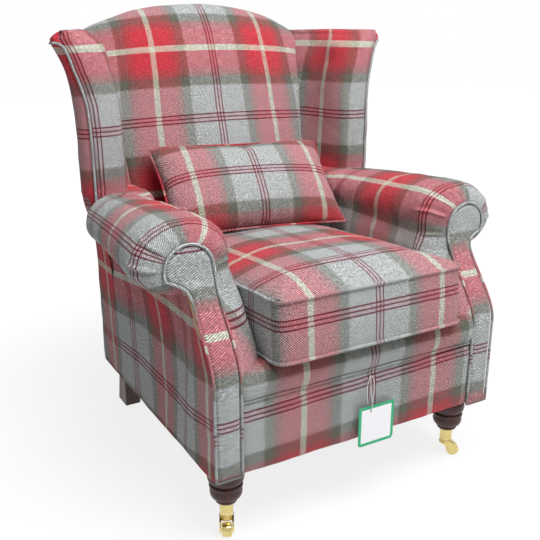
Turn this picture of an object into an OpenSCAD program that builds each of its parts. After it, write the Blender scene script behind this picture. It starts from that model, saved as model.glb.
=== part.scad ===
// Fireside chair: winged, scroll-armed and covered in plaid, on two turned front legs with brass castors
// and two square rear legs. Millimetres. +Z is up, the sitter faces -Y, +X is the sitter's left.
// The origin is on the floor under the middle of the chair.

/* [Body] */
// Width over the two arm facings at seat height
body_w = 704; // [640:2:740]
// Width over the outside back, where the sides meet it
rear_w = 640; // [620:2:660]
// Distance from the origin forward to the arm facings
body_front = 415; // [395:1:440]
// Distance from the origin back to the outside back at seat height
body_rear = 315; // [308:1:325]
// Height of the upholstery's lower edge above the floor
base_z = 163; // [158:1:172]
// Radius of the piping cord with its cover
piping_r = 3.6; // [2:0.1:5]
// Thickness of the outside cover with its lining
cover_t = 8; // [6:0.5:12]

/* [Arms] */
// Width of the arm facing
facing_w = 60; // [50:1:70]
// Radius of the scroll at the top of the facing
scroll_r = 52; // [46:1:58]
// Height of the scroll's centre
scroll_z = 566; // [554:1:566]
// Distance from the facing's foot back to the plane of the scroll
scroll_back = 103; // [85:1:115]
// Half width of the arm roll on its outer side, at its front
roll_out = 101; // [85:1:105]
// Half width of the arm roll on its outer side, at the wing
roll_out_rear = 64; // [55:1:80]
// Half width of the arm roll on its inner side
roll_in = 106; // [95:1:112]
// Half height of the arm roll at its front
roll_h = 85; // [78:1:92]
// Half height of the arm roll at the wing
roll_h_rear = 66; // [58:1:75]
// Height of the roll's top above the scroll's centre, at the wing
roll_rear_top = 64; // [55:1:64]
// How far the outside arm is drawn in under the roll
side_tuck = 38; // [10:1:44]
// Thickness of the padded facing cover
facing_pad_t = 10; // [6:0.5:14]
// Thickness of the facing board behind it
facing_board_t = 9; // [6:0.5:12]

/* [Back] */
// Angle that the back leans from the vertical
back_lean = 13; // [10:0.5:15]
// Height at which the back starts to lean
knee_z = 424; // [410:1:440]
// Length of the leaning back, from its knee to the crest at the middle
back_len = 634; // [610:2:660]
// Fall of the arched crest from its middle to the wings
crest_drop = 73; // [50:1:90]
// Half width of the inside back at its knee
back_hw = 222; // [205:1:230]
// Depth of the sprung inside back at the knee
back_depth = 151; // [140:1:158]
// Depth of the crest roll's long front curve below its top
crest_roll = 180; // [150:5:200]
// Distance of the crest's highest line from the outside back
crest_in = 59; // [50:1:70]

/* [Wings] */
// Half width over the wings at their lower end
wing_x = 401; // [390:1:412]
// How much further out the top of the wing stands
wing_flare = 34; // [20:1:45]
// Thickness of the wing at its front
wing_t = 98; // [88:1:106]
// Place of the wing's front edge behind the origin
wing_front = 128; // [118:1:140]
// Height of the wing's foot on the arm
wing_foot_z = 630; // [630:1:638]
// Height of the wing's top
wing_top_z = 989; // [970:1:1004]

/* [Seat] */
// Width of the seat cushion
cushion_w = 460; // [430:1:461]
// Depth of the seat cushion
cushion_d = 608; // [560:1:610]
// Height of the seat cushion's border
cushion_h = 128; // [110:1:140]
// Rise of the seat cushion's crown above its border
cushion_crown = 35; // [15:1:40]
// Slope of the seat down towards the back
seat_slope = 4; // [2:0.5:5]
// Height of the cushion's lower front edge
seat_z = 391; // [386:1:404]
// How far the cushion stands in front of the facings
cushion_proud = 29; // [15:1:35]
// Height of the seam between the apron and the padded front lip
apron_seam_z = 319; // [316:1:329]

/* [Lumbar cushion] */
// Width of the lumbar cushion
lumbar_w = 468; // [430:2:468]
// Height of the lumbar cushion along its face
lumbar_h = 258; // [220:2:275]
// Full thickness of the lumbar cushion
lumbar_t = 128; // [100:2:140]
// Angle that the lumbar cushion leans from the vertical
lumbar_lean = 46; // [40:1:50]

/* [Timber] */
// Thickness of the rails
rail_t = 25; // [20:1:28]
// Height of the seat rails' lower edge above the upholstery's lower edge
rail_lift = 5; // [3:1:10]
// Height of the seat rails' upper edge
rail_top = 314; // [306:1:315]
// Width of the rear leg and the upright above it, across the chair
post_w = 41; // [34:1:44]
// Depth of the rear upright, along the chair
post_d = 45; // [38:1:48]
// Distance from the middle plane to the rear leg's outer face
post_x = 297; // [290:1:300]
// Depth of the rear leg at the floor
foot_d = 59; // [50:1:66]

/* [Front legs] */
// Distance from the middle plane to each front leg's axis
leg_x = 299; // [285:1:310]
// Distance from the arm facings back to the front legs' axes
leg_back = 65; // [50:1:75]
// Radius of the leg's collar
collar_r = 38.5; // [36:0.5:42]
// Radius of the leg's bulb
bulb_r = 34; // [30:0.5:36]
// Radius of the leg's lower ring
ring_r = 23.5; // [20:0.5:26]
// Radius of the hanger bolt
bolt_r = 4; // [3:0.5:5]

/* [Castors] */
// Radius of the castor wheel
wheel_r = 15; // [13:0.5:15.5]
// Width of the castor wheel
wheel_w = 20; // [16:0.5:21]
// Trail of the wheel behind the swivel pin
trail = 17.5; // [16.5:0.5:24]
// Height of the cup's lower edge
cup_z = 42; // [41:0.5:46]
// Height of the cup's upper edge
cup_top = 73; // [68:0.5:75]
// Radius of the cup at its upper edge
cup_r = 15.5; // [14.5:0.25:18]
// Radius of the cup at its lower edge
cup_low_r = 14; // [12.5:0.25:14.5]
// Radius of the swivel pin
pin_r = 4; // [3:0.25:4.5]
// Radius of the wheel's axle
axle_r = 2.5; // [2:0.25:3.5]
// Direction of the left castor's trail
trail_left = -116; // [-180:1:180]
// Direction of the right castor's trail
trail_right = -30; // [-180:1:180]

/* [Swing tag] */
// Width of the swing tag
tag_w = 92; // [70:1:100]
// Height of the swing tag
tag_h = 92; // [70:1:100]
// Thickness of the tag's card
tag_t = 0.8; // [0.5:0.1:2]

/* [Hidden] */
$fn = 64;
EPS = 0.3;
RUN = 0.05;

plaid = [0.62, 0.40, 0.42];
cord_red = [0.55, 0.20, 0.24];
beech = [0.80, 0.66, 0.47];
mahogany = [0.22, 0.09, 0.07];
brass = [0.80, 0.70, 0.38];
steel = [0.60, 0.62, 0.64];
jute = [0.66, 0.55, 0.38];
black_cloth = [0.12, 0.12, 0.13];
wadding = [0.92, 0.91, 0.87];

// ---- Helpers -------------------------------------------------------------------------------------

function mix(a, b, t) = a + (b - a) * t;
function clamp01(t) = max(0, min(1, t));
function smooth(t) = let (c = clamp01(t)) c * c * (3 - 2 * c);
function total(vectors) = [for (v = vectors) 1] * vectors;
function middle(points) = total(points) / len(points);
function winding(ring) =
    let (n = len(ring))
    total([for (i = [0:n - 1]) cross(ring[i], ring[(i + 1) % n])]);
function turned(faces) = [for (f = faces) [for (i = [len(f) - 1:-1:0]) f[i]]];

// Skin over a row of rings with as many points each. ends are the faces that close both ends.
function side_faces(rows, n, loop) = [
    for (k = [0:rows - (loop ? 1 : 2)])
        for (i = [0:n - 1])
            let (a = k * n, b = ((k + 1) % rows) * n, j = (i + 1) % n)
            each [[a + i, b + i, b + j], [a + i, b + j, a + j]]
];

module skin(rings, ends, loop = false) {
    n = len(rings[0]);
    rows = len(rings);
    step = loop ? rings[1] : rings[rows - 1];
    outward = winding(rings[0]) * (middle(step) - middle(rings[0])) > 0;
    faces = concat(side_faces(rows, n, loop), ends);
    polyhedron([for (r = rings) each r], outward ? faces : turned(faces), convexity = 6);
}

// Loft over convex or plane rings, closed by one polygon at each end.
module loft(rings) {
    n = len(rings[0]);
    last = (len(rings) - 1) * n;
    skin(rings, [[for (i = [0:n - 1]) i], [for (i = [n - 1:-1:0]) last + i]]);
}

// Loft over sections made of point pairs, [inner, outer], so that a bent end closes pair by pair.
function pair_ends(m, base) = [
    for (j = [0:m - 2])
        each [[base + j, base + j + 1, base + 2 * m - 2 - j],
              [base + j, base + 2 * m - 2 - j, base + 2 * m - 1 - j]]
];

module pair_loft(sections) {
    m = len(sections[0]);
    rings = [
        for (s = sections)
            concat([for (p = s) p[0]], [for (j = [m - 1:-1:0]) s[j][1]])
    ];
    first = pair_ends(m, 0);
    last = pair_ends(m, (len(sections) - 1) * 2 * m);
    skin(rings, concat(first, turned(last)));
}

// Round tube along points, with its rings set square to the path. up is never along the path.
function unit(v) = v / norm(v);
function tube_ring(at, ahead, up, r, sides) =
    let (side = unit(cross(ahead, up)), rise = unit(cross(side, ahead)))
    [for (i = [0:sides - 1]) at + r * (cos(360 * i / sides) * side + sin(360 * i / sides) * rise)];

module tube(points, r, up, sides = 8, loop = false) {
    n = len(points);
    rings = [
        for (i = [0:n - 1])
            let (after = loop ? points[(i + 1) % n] : points[min(i + 1, n - 1)])
            let (before = loop ? points[(i + n - 1) % n] : points[max(i - 1, 0)])
            tube_ring(points[i], after - before, up, r, sides)
    ];
    if (loop)
        skin(rings, [], true);
    else
        loft(rings);
}

module both() {
    children();
    mirror([1, 0, 0])
        children();
}

// Places its child on the viewer's left or right. Every paired piece is drawn on the right, at +X.
module on_side(left) {
    mirror([left ? 1 : 0, 0, 0])
        children();
}

// ---- Derived places ------------------------------------------------------------------------------

// Arm facing, seen from the front
seam_out = body_w / 2;
seam_in = seam_out - facing_w;
scroll_x = seam_in + scroll_r + 2.5;
neck_z = scroll_z - scroll_r;
facing_depth = facing_pad_t + facing_board_t + 2 * EPS;
curve_low = scroll_z - 202;
curve_high = scroll_z - 7;

function facing_y(z) = -body_front + scroll_back * smooth((z - curve_low) / (curve_high - curve_low));
function arc(cx, cz, r, from, to, steps) = [
    for (i = [0:steps])
        let (a = mix(from, to, i / steps))
        [cx + r * cos(a), cz + r * sin(a)]
];

// Outline of the facing in X and Z: strip, fillet under the scroll, scroll, and the strip's inner edge
function facing_outline(inset = 0) =
    let (r = scroll_r - inset, a = seam_in + inset, b = seam_out - inset)
    concat(
        [[a, base_z + inset], [b, base_z + inset], [b, neck_z - 3], [b + 3, neck_z + 7 + inset]],
        [[b + 11, neck_z + 17 + inset], [b + 24, neck_z + 25 + inset]],
        arc(scroll_x, scroll_z, r, -19, 168, 16),
        [[a, scroll_z - 17]]);

// Leaning frame of the back: t is square to the outside back, s runs up along it
lean_sin = sin(back_lean);
lean_cos = cos(back_lean);
function back_y(t, s) = body_rear + s * lean_sin + t * lean_cos;
function back_z(t, s) = knee_z + s * lean_cos - t * lean_sin;
function lean_s(z, t) = (z - knee_z + t * lean_sin) / lean_cos;
function crest_s(x) = back_len - crest_drop * pow(x / back_side(back_len), 2);
function back_side(s) = back_hw + 0.1 * s;
module leaning() {
    translate([0, body_rear, knee_z])
        rotate([-back_lean, 0, 0])
            children();
}

cover_face = -cover_t;
post_front = cover_face - post_d;
strap_t = 2;
pad_back = post_front - strap_t - 2 * EPS;
post_top_s = 480;
back_low_s = lean_s(seat_z, -back_depth + 25);

// Seat
tan_slope = tan(seat_slope);
cushion_front = -body_front - cushion_proud;
function seat_plane(y) = seat_z - (y - cushion_front) * tan_slope;
module on_seat() {
    translate([0, cushion_front, seat_z])
        rotate([-seat_slope, 0, 0])
            children();
}
arm_in = cushion_w / 2 + 1.5;
deck_z = rail_top + 5.5;
rail_low = base_z + rail_lift;
rail_high = rail_top - rail_low;

// Timber
leg_y = body_front - leg_back;
front_post_w = 38;
front_post_d = 52;
front_post_x = leg_x - 22;
front_post_y = -leg_y - 35;
side_rail_x = post_x;
arm_rail_z = scroll_z + 3;
arm_rail_w = 52;
wing_post_w = 25;
wing_post_y = wing_front + 38;
wing_post_top = wing_top_z - 65;
post_in = post_x - post_w;
upright_y = body_rear + cover_face - post_d;

// ---- Timber frame --------------------------------------------------------------------------------

// Rear leg and back upright in one piece: sabre foot, straight middle, leaning top
module rear_post(left) {
    foot_y = body_rear + 16 - foot_d;
    inside = body_rear - cover_t - EPS;
    outline = [
        [foot_y, 0],
        [foot_y + foot_d, 0],
        [foot_y + foot_d - 17, base_z - 80],
        [inside, base_z - 1],
        [inside, knee_z],
        [back_y(cover_face - EPS, post_top_s), back_z(cover_face - EPS, post_top_s)],
        [back_y(post_front, post_top_s), back_z(post_front, post_top_s)],
        [upright_y, knee_z],
        [upright_y, base_z + 10],
        [foot_y - 2, base_z - 80]
    ];
    color(mahogany)
        on_side(left)
            translate([post_in, 0, 0])
                rotate([90, 0, 90])
                    linear_extrude(post_w)
                        polygon(outline);
}

// Front upright behind the facing, raked like it and drilled for the leg's hanger bolt
rake = facing_depth + 4;
rake_top = -body_front + scroll_back + rake + 45;
function front_post_rear(z) =
    mix(front_post_y + front_post_d, rake_top, clamp01((z - curve_low + 20) / (neck_z - curve_low + 30)));

module front_post_solid(grow = 0) {
    outline = [
        [front_post_y - grow, rail_low - grow],
        [front_post_y - grow, curve_low - 6],
        [-body_front + scroll_back + rake - grow, neck_z + 24],
        [-body_front + scroll_back + rake - grow, arm_rail_z + grow],
        [rake_top + grow, arm_rail_z + grow],
        [rake_top + grow, neck_z + 10],
        [front_post_y + front_post_d + grow, curve_low - 20],
        [front_post_y + front_post_d + grow, rail_low - grow]
    ];
    translate([front_post_x - grow, 0, 0])
        rotate([90, 0, 90])
            linear_extrude(front_post_w + 2 * grow)
                polygon(outline);
}

module bolt_hole() {
    translate([leg_x, -leg_y, base_z - 47])
        cylinder(r = bolt_r + RUN, h = 118);
}

module front_post(left) {
    color(beech)
        on_side(left)
            difference() {
                front_post_solid();
                bolt_hole();
            }
}

module seat_rail_front() {
    color(beech)
        translate([-front_post_x + EPS, front_post_y, rail_low])
            cube([2 * (front_post_x - EPS), rail_t + 3, rail_high]);
}

module seat_rail_back() {
    color(beech)
        translate([-post_in + EPS, upright_y + 4, rail_low])
            cube([2 * (post_in - EPS), rail_t, rail_high]);
}

side_rail_past = 33;
module seat_rail_side(left) {
    from = front_post_y + front_post_d + EPS;
    color(beech)
        on_side(left)
            translate([side_rail_x + EPS, from, rail_low])
                cube([rail_t, side_turn + side_rail_past - from, rail_high]);
}

block_lift = 45;
block_h = 40;
block_across = 75;
block_along = 66;
module corner_blocks() {
    front_in = front_post_y + rail_t + 3 + EPS;
    post_back = front_post_y + front_post_d + EPS;
    back_in = upright_y + 4 - EPS;
    block_z = rail_low + block_lift;
    color(beech)
        both() {
            translate([0, 0, block_z])
                linear_extrude(block_h)
                    polygon([
                        [front_post_x - block_across, front_in],
                        [front_post_x - EPS, front_in],
                        [front_post_x - EPS, post_back],
                        [side_rail_x, post_back],
                        [side_rail_x, post_back + block_along]
                    ]);
            translate([0, 0, block_z])
                linear_extrude(block_h)
                    polygon([
                        [side_rail_x, upright_y - EPS - block_along],
                        [side_rail_x, upright_y - EPS],
                        [post_in - EPS, upright_y - EPS],
                        [post_in - EPS, back_in],
                        [post_in - block_across, back_in]
                    ]);
        }
}

// Board that the arm roll is built round, from the front upright to the rear one
arm_rail_from = -body_front + scroll_back + facing_depth + 4;
module arm_rail_solid(grow = 0) {
    inner = side_rail_x + EPS - grow;
    outer = inner + arm_rail_w + 2 * grow;
    rear = upright_y + 40 + grow;
    translate([0, 0, arm_rail_z + EPS - grow])
        linear_extrude(rail_t + 2 * grow)
            polygon([
                [inner, arm_rail_from - grow],
                [outer, arm_rail_from - grow],
                [outer, wing_post_y + 40],
                [inner + 12 + 2 * grow, rear],
                [inner, rear]
            ]);
}

module arm_rail(left) {
    color(beech)
        on_side(left)
            arm_rail_solid();
}

// Lower rails that the inside arms are tacked to, between the front and rear uprights
tack_x = post_x - 13;
tack_lift = 75;
tack_h = 40;
module tack_rails() {
    low = rail_top + tack_lift;
    from = front_post_rear(low + tack_h) + EPS;
    color(beech)
        both()
            translate([tack_x + EPS, from, low])
                cube([rail_t - 3, upright_y - EPS - from, tack_h]);
}

back_rail_s = 12;
back_rail_d = 33;
back_rail_h = 42;
module lower_back_rail() {
    color(beech)
        leaning()
            translate([-post_in + EPS, post_front, back_rail_s])
                cube([2 * (post_in - EPS), back_rail_d, back_rail_h]);
}

function crest_rail_top(x) = crest_s(x) - 46;
module crest_rail() {
    half = post_x - 5;
    stations = [for (i = [0:16]) mix(-half, half, i / 16)];
    arch = [for (x = stations) [x, crest_rail_top(x)]];
    low = post_top_s + EPS;
    color(beech)
        leaning()
            translate([0, cover_face - 12, 0])
                rotate([90, 0, 0])
                    linear_extrude(back_rail_d)
                        polygon(concat([[half, low], [-half, low]], arch));
}

// Upright board of the wing on the arm rail, and the rail from its top back to the rear upright
module wing_frame_solid(grow = 0) {
    foot_z = arm_rail_z + rail_t + 2 * EPS;
    foot_x = side_rail_x + 25;
    top_x = foot_x + wing_flare;
    translate([0, wing_post_y + 30 + grow, 0])
        rotate([90, 0, 0])
            linear_extrude(30 + 2 * grow)
                polygon([
                    [foot_x - grow, foot_z - grow],
                    [foot_x + wing_post_w + grow, foot_z - grow],
                    [top_x + wing_post_w + grow, wing_post_top + grow],
                    [top_x - grow, wing_post_top + grow]
                ]);
    rear = back_y(post_front + 16, post_top_s - 24);
    translate([0, 0, wing_post_top - rail_t - grow])
        linear_extrude(rail_t + 2 * grow)
            polygon([
                [top_x - grow, wing_post_y + 29],
                [top_x + wing_post_w + grow, wing_post_y + 29],
                [post_x + wing_post_w + grow, rear + 10 + grow],
                [post_x + EPS, rear + 10 + grow],
                [post_x + EPS, rear - 10 - grow]
            ]);
}

module wing_frame(left) {
    color(beech)
        on_side(left)
            wing_frame_solid();
}

// ---- Springing and deck --------------------------------------------------------------------------

// Zigzag springs from the front rail to the back rail
spring_count = 5;
spring_r = 1.7;
spring_loops = 11;
module seat_springs() {
    start = front_post_y + 14;
    end = upright_y + 18;
    pitch = (end - start) / spring_loops;
    reach = 20;
    color(steel)
        for (k = [0:spring_count - 1]) {
            middle_x = (k - (spring_count - 1) / 2) * cushion_w / (spring_count + 0.5);
            path = [
                for (i = [0:spring_loops * 4])
                    let (side = sin(90 * i))
                    [middle_x + reach * side, start + pitch * i / 4, rail_top + spring_r + RUN]
            ];
            tube(path, spring_r, [0, 0, 1], 6);
        }
}

module seat_hessian() {
    color(jute)
        translate([-arm_in + 2, front_post_y + 6, rail_top + 2 * spring_r + 2 * RUN])
            cube([2 * arm_in - 4, upright_y + 22 - front_post_y, 1.4]);
}

// Wedge of felt and foam between the hessian and the sloping cushion
lip_back = -body_front + 55;
deck_back = -body_front + cushion_d - 32;
module seat_deck() {
    outline = [
        [lip_back + EPS, deck_z],
        [deck_back, deck_z],
        [deck_back, seat_plane(deck_back) - EPS],
        [lip_back + EPS, seat_plane(lip_back) - EPS]
    ];
    color(plaid)
        translate([-arm_in + 1, 0, 0])
            rotate([90, 0, 90])
                linear_extrude(2 * arm_in - 2)
                    polygon(outline);
}

// Padded roll between the apron's seam and the cushion
module front_lip() {
    nose = -body_front + 20;
    top = seat_plane(nose) - EPS;
    mid = mix(apron_seam_z, top, 0.5);
    half = (top - apron_seam_z - EPS) / 2;
    outline = concat(
        [[lip_back, apron_seam_z + EPS], [lip_back, seat_plane(lip_back) - EPS]],
        [for (i = [0:12]) [nose - 26 * sin(15 * i), mid + half * cos(15 * i)]]);
    color(plaid)
        difference() {
            translate([-seam_in + EPS, 0, 0])
                rotate([90, 0, 90])
                    linear_extrude(2 * (seam_in - EPS))
                        polygon(outline);
            both()
                translate([front_post_x - 1, front_post_y - 1, apron_seam_z - 1])
                    cube([60, 60, 90]);
        }
}

strap_w = 50;
strap_pitch = 100;
module back_webbing() {
    low = back_rail_s + 2;
    high = post_top_s + 22;
    color(jute)
        leaning()
            for (x = strap_pitch * [-1.5, -0.5, 0.5, 1.5])
                translate([x - strap_w / 2, post_front - strap_t - EPS, low])
                    cube([strap_w, strap_t, high - low]);
}

// ---- Back ----------------------------------------------------------------------------------------

// Front face of the inside back at the middle: distance t from the outside back at height s
function back_front(s) = lookup(s, [
    [-90, -back_depth + 28], [0, -back_depth + 11], [80, -back_depth], [250, -back_depth],
    [337, -back_depth + 6], [422, -back_depth + 9], [700, -back_depth + 12]
]);
function crowned(x) = 0.00055 * x * x;

// Front of the back at height s below a crest of height top, with the crest's long front curve
function back_face(s, top) =
    let (rise = clamp01((s - top + crest_roll) / crest_roll), front = back_front(s))
    -crest_in + (front + crest_in) * sqrt(1 - rise * rise);

// Section in t and s at x: front face, crest, flap behind the crest rail, and the rail's recess
function back_section(x) =
    let (top = crest_s(x), lift = crowned(x), rail = crest_rail_top(x) + 3, drop = crest_in - 12)
    concat(
        [for (s = [back_low_s, 0, 80, 160, 250, 337]) [back_front(s) + lift, s]],
        [
            for (f = [0.08, 0.4, 0.65, 0.83, 0.94, 0.99])
                let (s = top - crest_roll * (1 - f))
                [min(back_face(s, top) + lift, cover_face - 20), s]
        ],
        [
            for (a = [100, 60, 30, 0])
                [-crest_in * 0.62 + lift * 0.5 + (crest_in * 0.62 - lift * 0.5 + cover_face - EPS) * cos(a),
                 top - drop * (1 - sin(a))]
        ],
        [[cover_face - EPS, post_top_s + 2], [cover_face - 12 + EPS, post_top_s + 2]],
        [[cover_face - 12 + EPS, rail], [pad_back, rail], [pad_back, back_low_s]]);

module inside_back() {
    steps = 12;
    color(plaid)
        loft([
            for (k = [0:steps])
                let (u = 2 * k / steps - 1, x = u * back_side(250))
                [for (p = back_section(x)) [u * back_side(p[1]), back_y(p[0], p[1]), back_z(p[0], p[1])]]
        ]);
}

// Flat panel that closes the back, from the lower edge up to the crest roll
module outside_back() {
    half = rear_w / 2;
    top = back_len + 20;
    band = [
        [body_rear + cover_face, base_z],
        [body_rear + cover_face, knee_z],
        [back_y(cover_face, top), back_z(cover_face, top)],
        [back_y(0, top), back_z(0, top)],
        [body_rear, knee_z],
        [body_rear, base_z]
    ];
    arch = [
        for (i = [0:16])
            let (x = mix(half, -half, i / 16))
            [x, back_z(0, crest_s(x) - 34)]
    ];
    color(plaid)
        intersection() {
            translate([-half, 0, 0])
                rotate([90, 0, 90])
                    linear_extrude(2 * half)
                        polygon(band);
            translate([0, body_rear + 200, 0])
                rotate([90, 0, 0])
                    linear_extrude(300)
                        polygon(concat([[-half + 6, base_z], [half - 6, base_z]], arch));
        }
}

// ---- Wings ---------------------------------------------------------------------------------------

// Half width over the wing and place of its front edge, both as functions of height
wing_rise = wing_top_z - wing_foot_z;
function wing_out(z) = wing_x + wing_flare * pow(clamp01((z - wing_foot_z - 60) / (wing_rise - 60)), 1.6);
function wing_nose(z) = wing_front + 26 * pow(clamp01((z - wing_foot_z - 90) / (wing_rise - 90)), 2);

// Plan of the wing at height z: pairs of inner and outer points from the nose to the outside back
function wing_plan(z) =
    let (out = wing_out(z), nose = wing_nose(z))
    let (s = lean_s(z, pad_back), side = back_side(s) + EPS)
    let (seam_t = back_front(s) + crowned(side) + 6)
    let (rear = back_y(cover_face - EPS, lean_s(z, cover_face)), front = back_y(post_front - 2 * EPS, s))
    let (seam_y = back_y(min(seam_t, post_front - 6), s), in_x = out - wing_t)
    let (corner = rear_w / 2 - 2)
    [
        [[out - 62, nose + 1], [out - 30, nose]],
        [[out - 84, nose + 9], [out - 10, nose + 8]],
        [[in_x, nose + 30], [out, nose + 28]],
        [[mix(in_x, side, 0.5), mix(nose + 30, seam_y, 0.5) + 4], [mix(out, corner, 0.24), nose + 90]],
        [[side, seam_y], [mix(out, corner, 0.5), mix(nose, rear, 0.55)]],
        [[side, front], [mix(out, corner, 0.74), mix(nose, rear, 0.76)]],
        [[post_x + EPS, front + 0.5], [mix(out, corner, 0.88), mix(nose, rear, 0.9)]],
        [[post_x + EPS, rear], [corner, rear]]
    ];

function wing_section(z, shrink) = [
    for (pair = wing_plan(z))
        let (m = (pair[0] + pair[1]) / 2)
        [for (p = pair) let (q = mix(p, m, shrink)) [q[0], q[1], z]]
];

module wing(left) {
    low = wing_foot_z + EPS;
    round_z = wing_top_z - 42;
    heights = concat(
        [for (i = [0:5]) [mix(low, round_z, i / 5), 0]],
        [for (i = [1:5]) [round_z + 42 * sin(18 * i), 0.86 * (1 - cos(18 * i))]]);
    color(plaid)
        on_side(left)
            difference() {
                pair_loft([for (h = heights) wing_section(h[0], h[1])]);
                wing_frame_solid(EPS);
            }
}

// Piping up the wing's front outer edge and back over its top
module wing_piping(left) {
    steps = 14;
    round_z = wing_top_z - 42;
    front = [
        for (i = [0:steps])
            let (z = mix(wing_foot_z + 6, round_z, i / steps))
            [wing_out(z) - 20, wing_nose(z) + 1, z]
    ];
    over = [
        for (i = [1:6])
            let (z = round_z + 40 * sin(15 * i), p = wing_section(z, 0.86 * (1 - cos(15 * i)))[1][1])
            [p[0] - 4, p[1] + 5 * i, z]
    ];
    color(cord_red)
        on_side(left)
            tube(concat(front, over), piping_r, [0, 1, 0]);
}

// ---- Arms ----------------------------------------------------------------------------------------

roll_x = seam_out - 2;
under_z = scroll_z - 84;
arm_low = seat_z;
tack_out = tack_x - EPS;
roll_end = wing_front + 12;

// The roll's inner side is round in front and grows squarer under the wing
function squareness(y) = mix(2.4, 7, smooth((y - wing_front + 45) / 50));
function squircle(u, p) = pow(1 - pow(min(abs(u), 1), p), 1 / p);

// Progress of the roll from full size at its front to the wing
roll_from = -body_front + scroll_back + 20;
function roll_run(y) = smooth((y - roll_from) / (roll_end - roll_from));
function roll_top(y) =
    mix(scroll_z + roll_h + 6, scroll_z + roll_rear_top, pow(clamp01((y + 230) / (wing_front + 228)), 1.3));
function roll_half(y) = mix(roll_h, roll_h_rear, roll_run(y));
function roll_z(y) = roll_top(y) - roll_half(y);
function roll_reach(y) = mix(roll_out, roll_out_rear, clamp01((y + 270) / (roll_end + 270)));

// The roll is flatter below its middle than above it
roll_under = 0.72;
function roll_rise(y, a) = roll_half(y) * sin(a) * (a < 0 ? roll_under : 1);

// Inner face of the arm at height z and place y
function inner_x(z, y) =
    let (u = (z - roll_z(y)) / roll_half(y))
    z < roll_z(y)
        ? mix(arm_in, roll_x - roll_in, smooth((z - roll_z(y) + 75) / 60))
        : roll_x - roll_in * squircle(u, squareness(y));

// Half outline of the scroll at height z, which the roll is gathered to at its front
function scroll_side(z) = sqrt(max(0, scroll_r * scroll_r - pow(z - scroll_z, 2)));

roll_angles = [-71, -52, -33, -14, 5, 24, 43, 62, 78, 88];
arm_levels = [for (i = [0:4]) mix(arm_low, under_z, i / 4)];

// Growth of the roll out of the scroll's gathers, by the distance behind the facing
function gather(run) = lookup(run, [[0, 0.05], [5, 0.55], [13, 0.85], [27, 1]]);

// Point pairs of the arm at the distance run behind the facing and the share t of the whole length
function arm_pair_low(z, grow, y) = [
    [mix(seam_in, inner_x(z, y), grow), y, z],
    [mix(seam_in + 9, tack_out, grow), min(y, upright_y - EPS), z]
];
function arm_pair_roll(a, grow, y, y_out) =
    let (z = roll_z(y) + roll_rise(y, a), tight = scroll_z + scroll_r * sin(a))
    let (out = roll_x + roll_reach(y_out) * cos(a), z_out = roll_z(y_out) + roll_rise(y_out, a))
    [
        [mix(scroll_x - scroll_side(tight), inner_x(z, y), grow), y, mix(tight, z, grow)],
        [mix(scroll_x + scroll_side(tight), out, grow), y_out, mix(tight, z_out, grow)]
    ];

// Rear end of the arm: the face of the inside back at that height
function arm_rear(z) =
    let (s = lean_s(z, -back_depth))
    back_y(back_front(s) + crowned(arm_in) - 2, s);

module arm(left) {
    span = 440;
    sections = [
        for (run = [1.5, 5, 13, 27, 80, 140, 200, 260, 320, 380, 415, span])
            let (t = pow(run / span, 2), grow = gather(run))
            concat(
                [
                    for (z = arm_levels)
                        let (from = facing_y(z) + facing_depth + run)
                        arm_pair_low(z, grow, mix(from, arm_rear(z), t))
                ],
                [
                    for (a = roll_angles)
                        let (full = roll_z(-body_front) + roll_rise(-body_front, a))
                        let (z = mix(scroll_z + scroll_r * sin(a), full, grow))
                        let (from = facing_y(z) + facing_depth + run)
                        arm_pair_roll(a, grow, mix(from, arm_rear(z), t), mix(from, roll_end, t))
                ])
    ];
    color(plaid)
        on_side(left)
            difference() {
                pair_loft(sections);
                arm_rail_solid(EPS);
                front_post_solid(EPS);
                wing_frame_solid(EPS);
                translate([seam_out - cover_t - 7, roll_end + 1.5, under_z - 20])
                    cube([roll_out, 100, 2 * roll_h]);
            }
}

// Outside arm: panel from the facing's seam back to the outside back. It is drawn in under the roll,
// and behind the roll's end it runs up to the wing's foot.
side_turn = body_rear - 62;
side_rear = body_rear + cover_face;
function side_x(y) = mix(seam_out, rear_w / 2, clamp01((y - side_turn) / (side_rear - side_turn)));
function tuck(y, z) =
    side_tuck * pow(clamp01((z - base_z) / (under_z - base_z)), 0.8)
    * smooth((y + body_front - 30) / 190) * (1 - smooth((y + 20) / 190));

// Height of the roll's underside above the panel's inner face at x
function under_roll(x) = under_z + 0.3 * (x - cover_t - tack_out) - 1;

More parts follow.
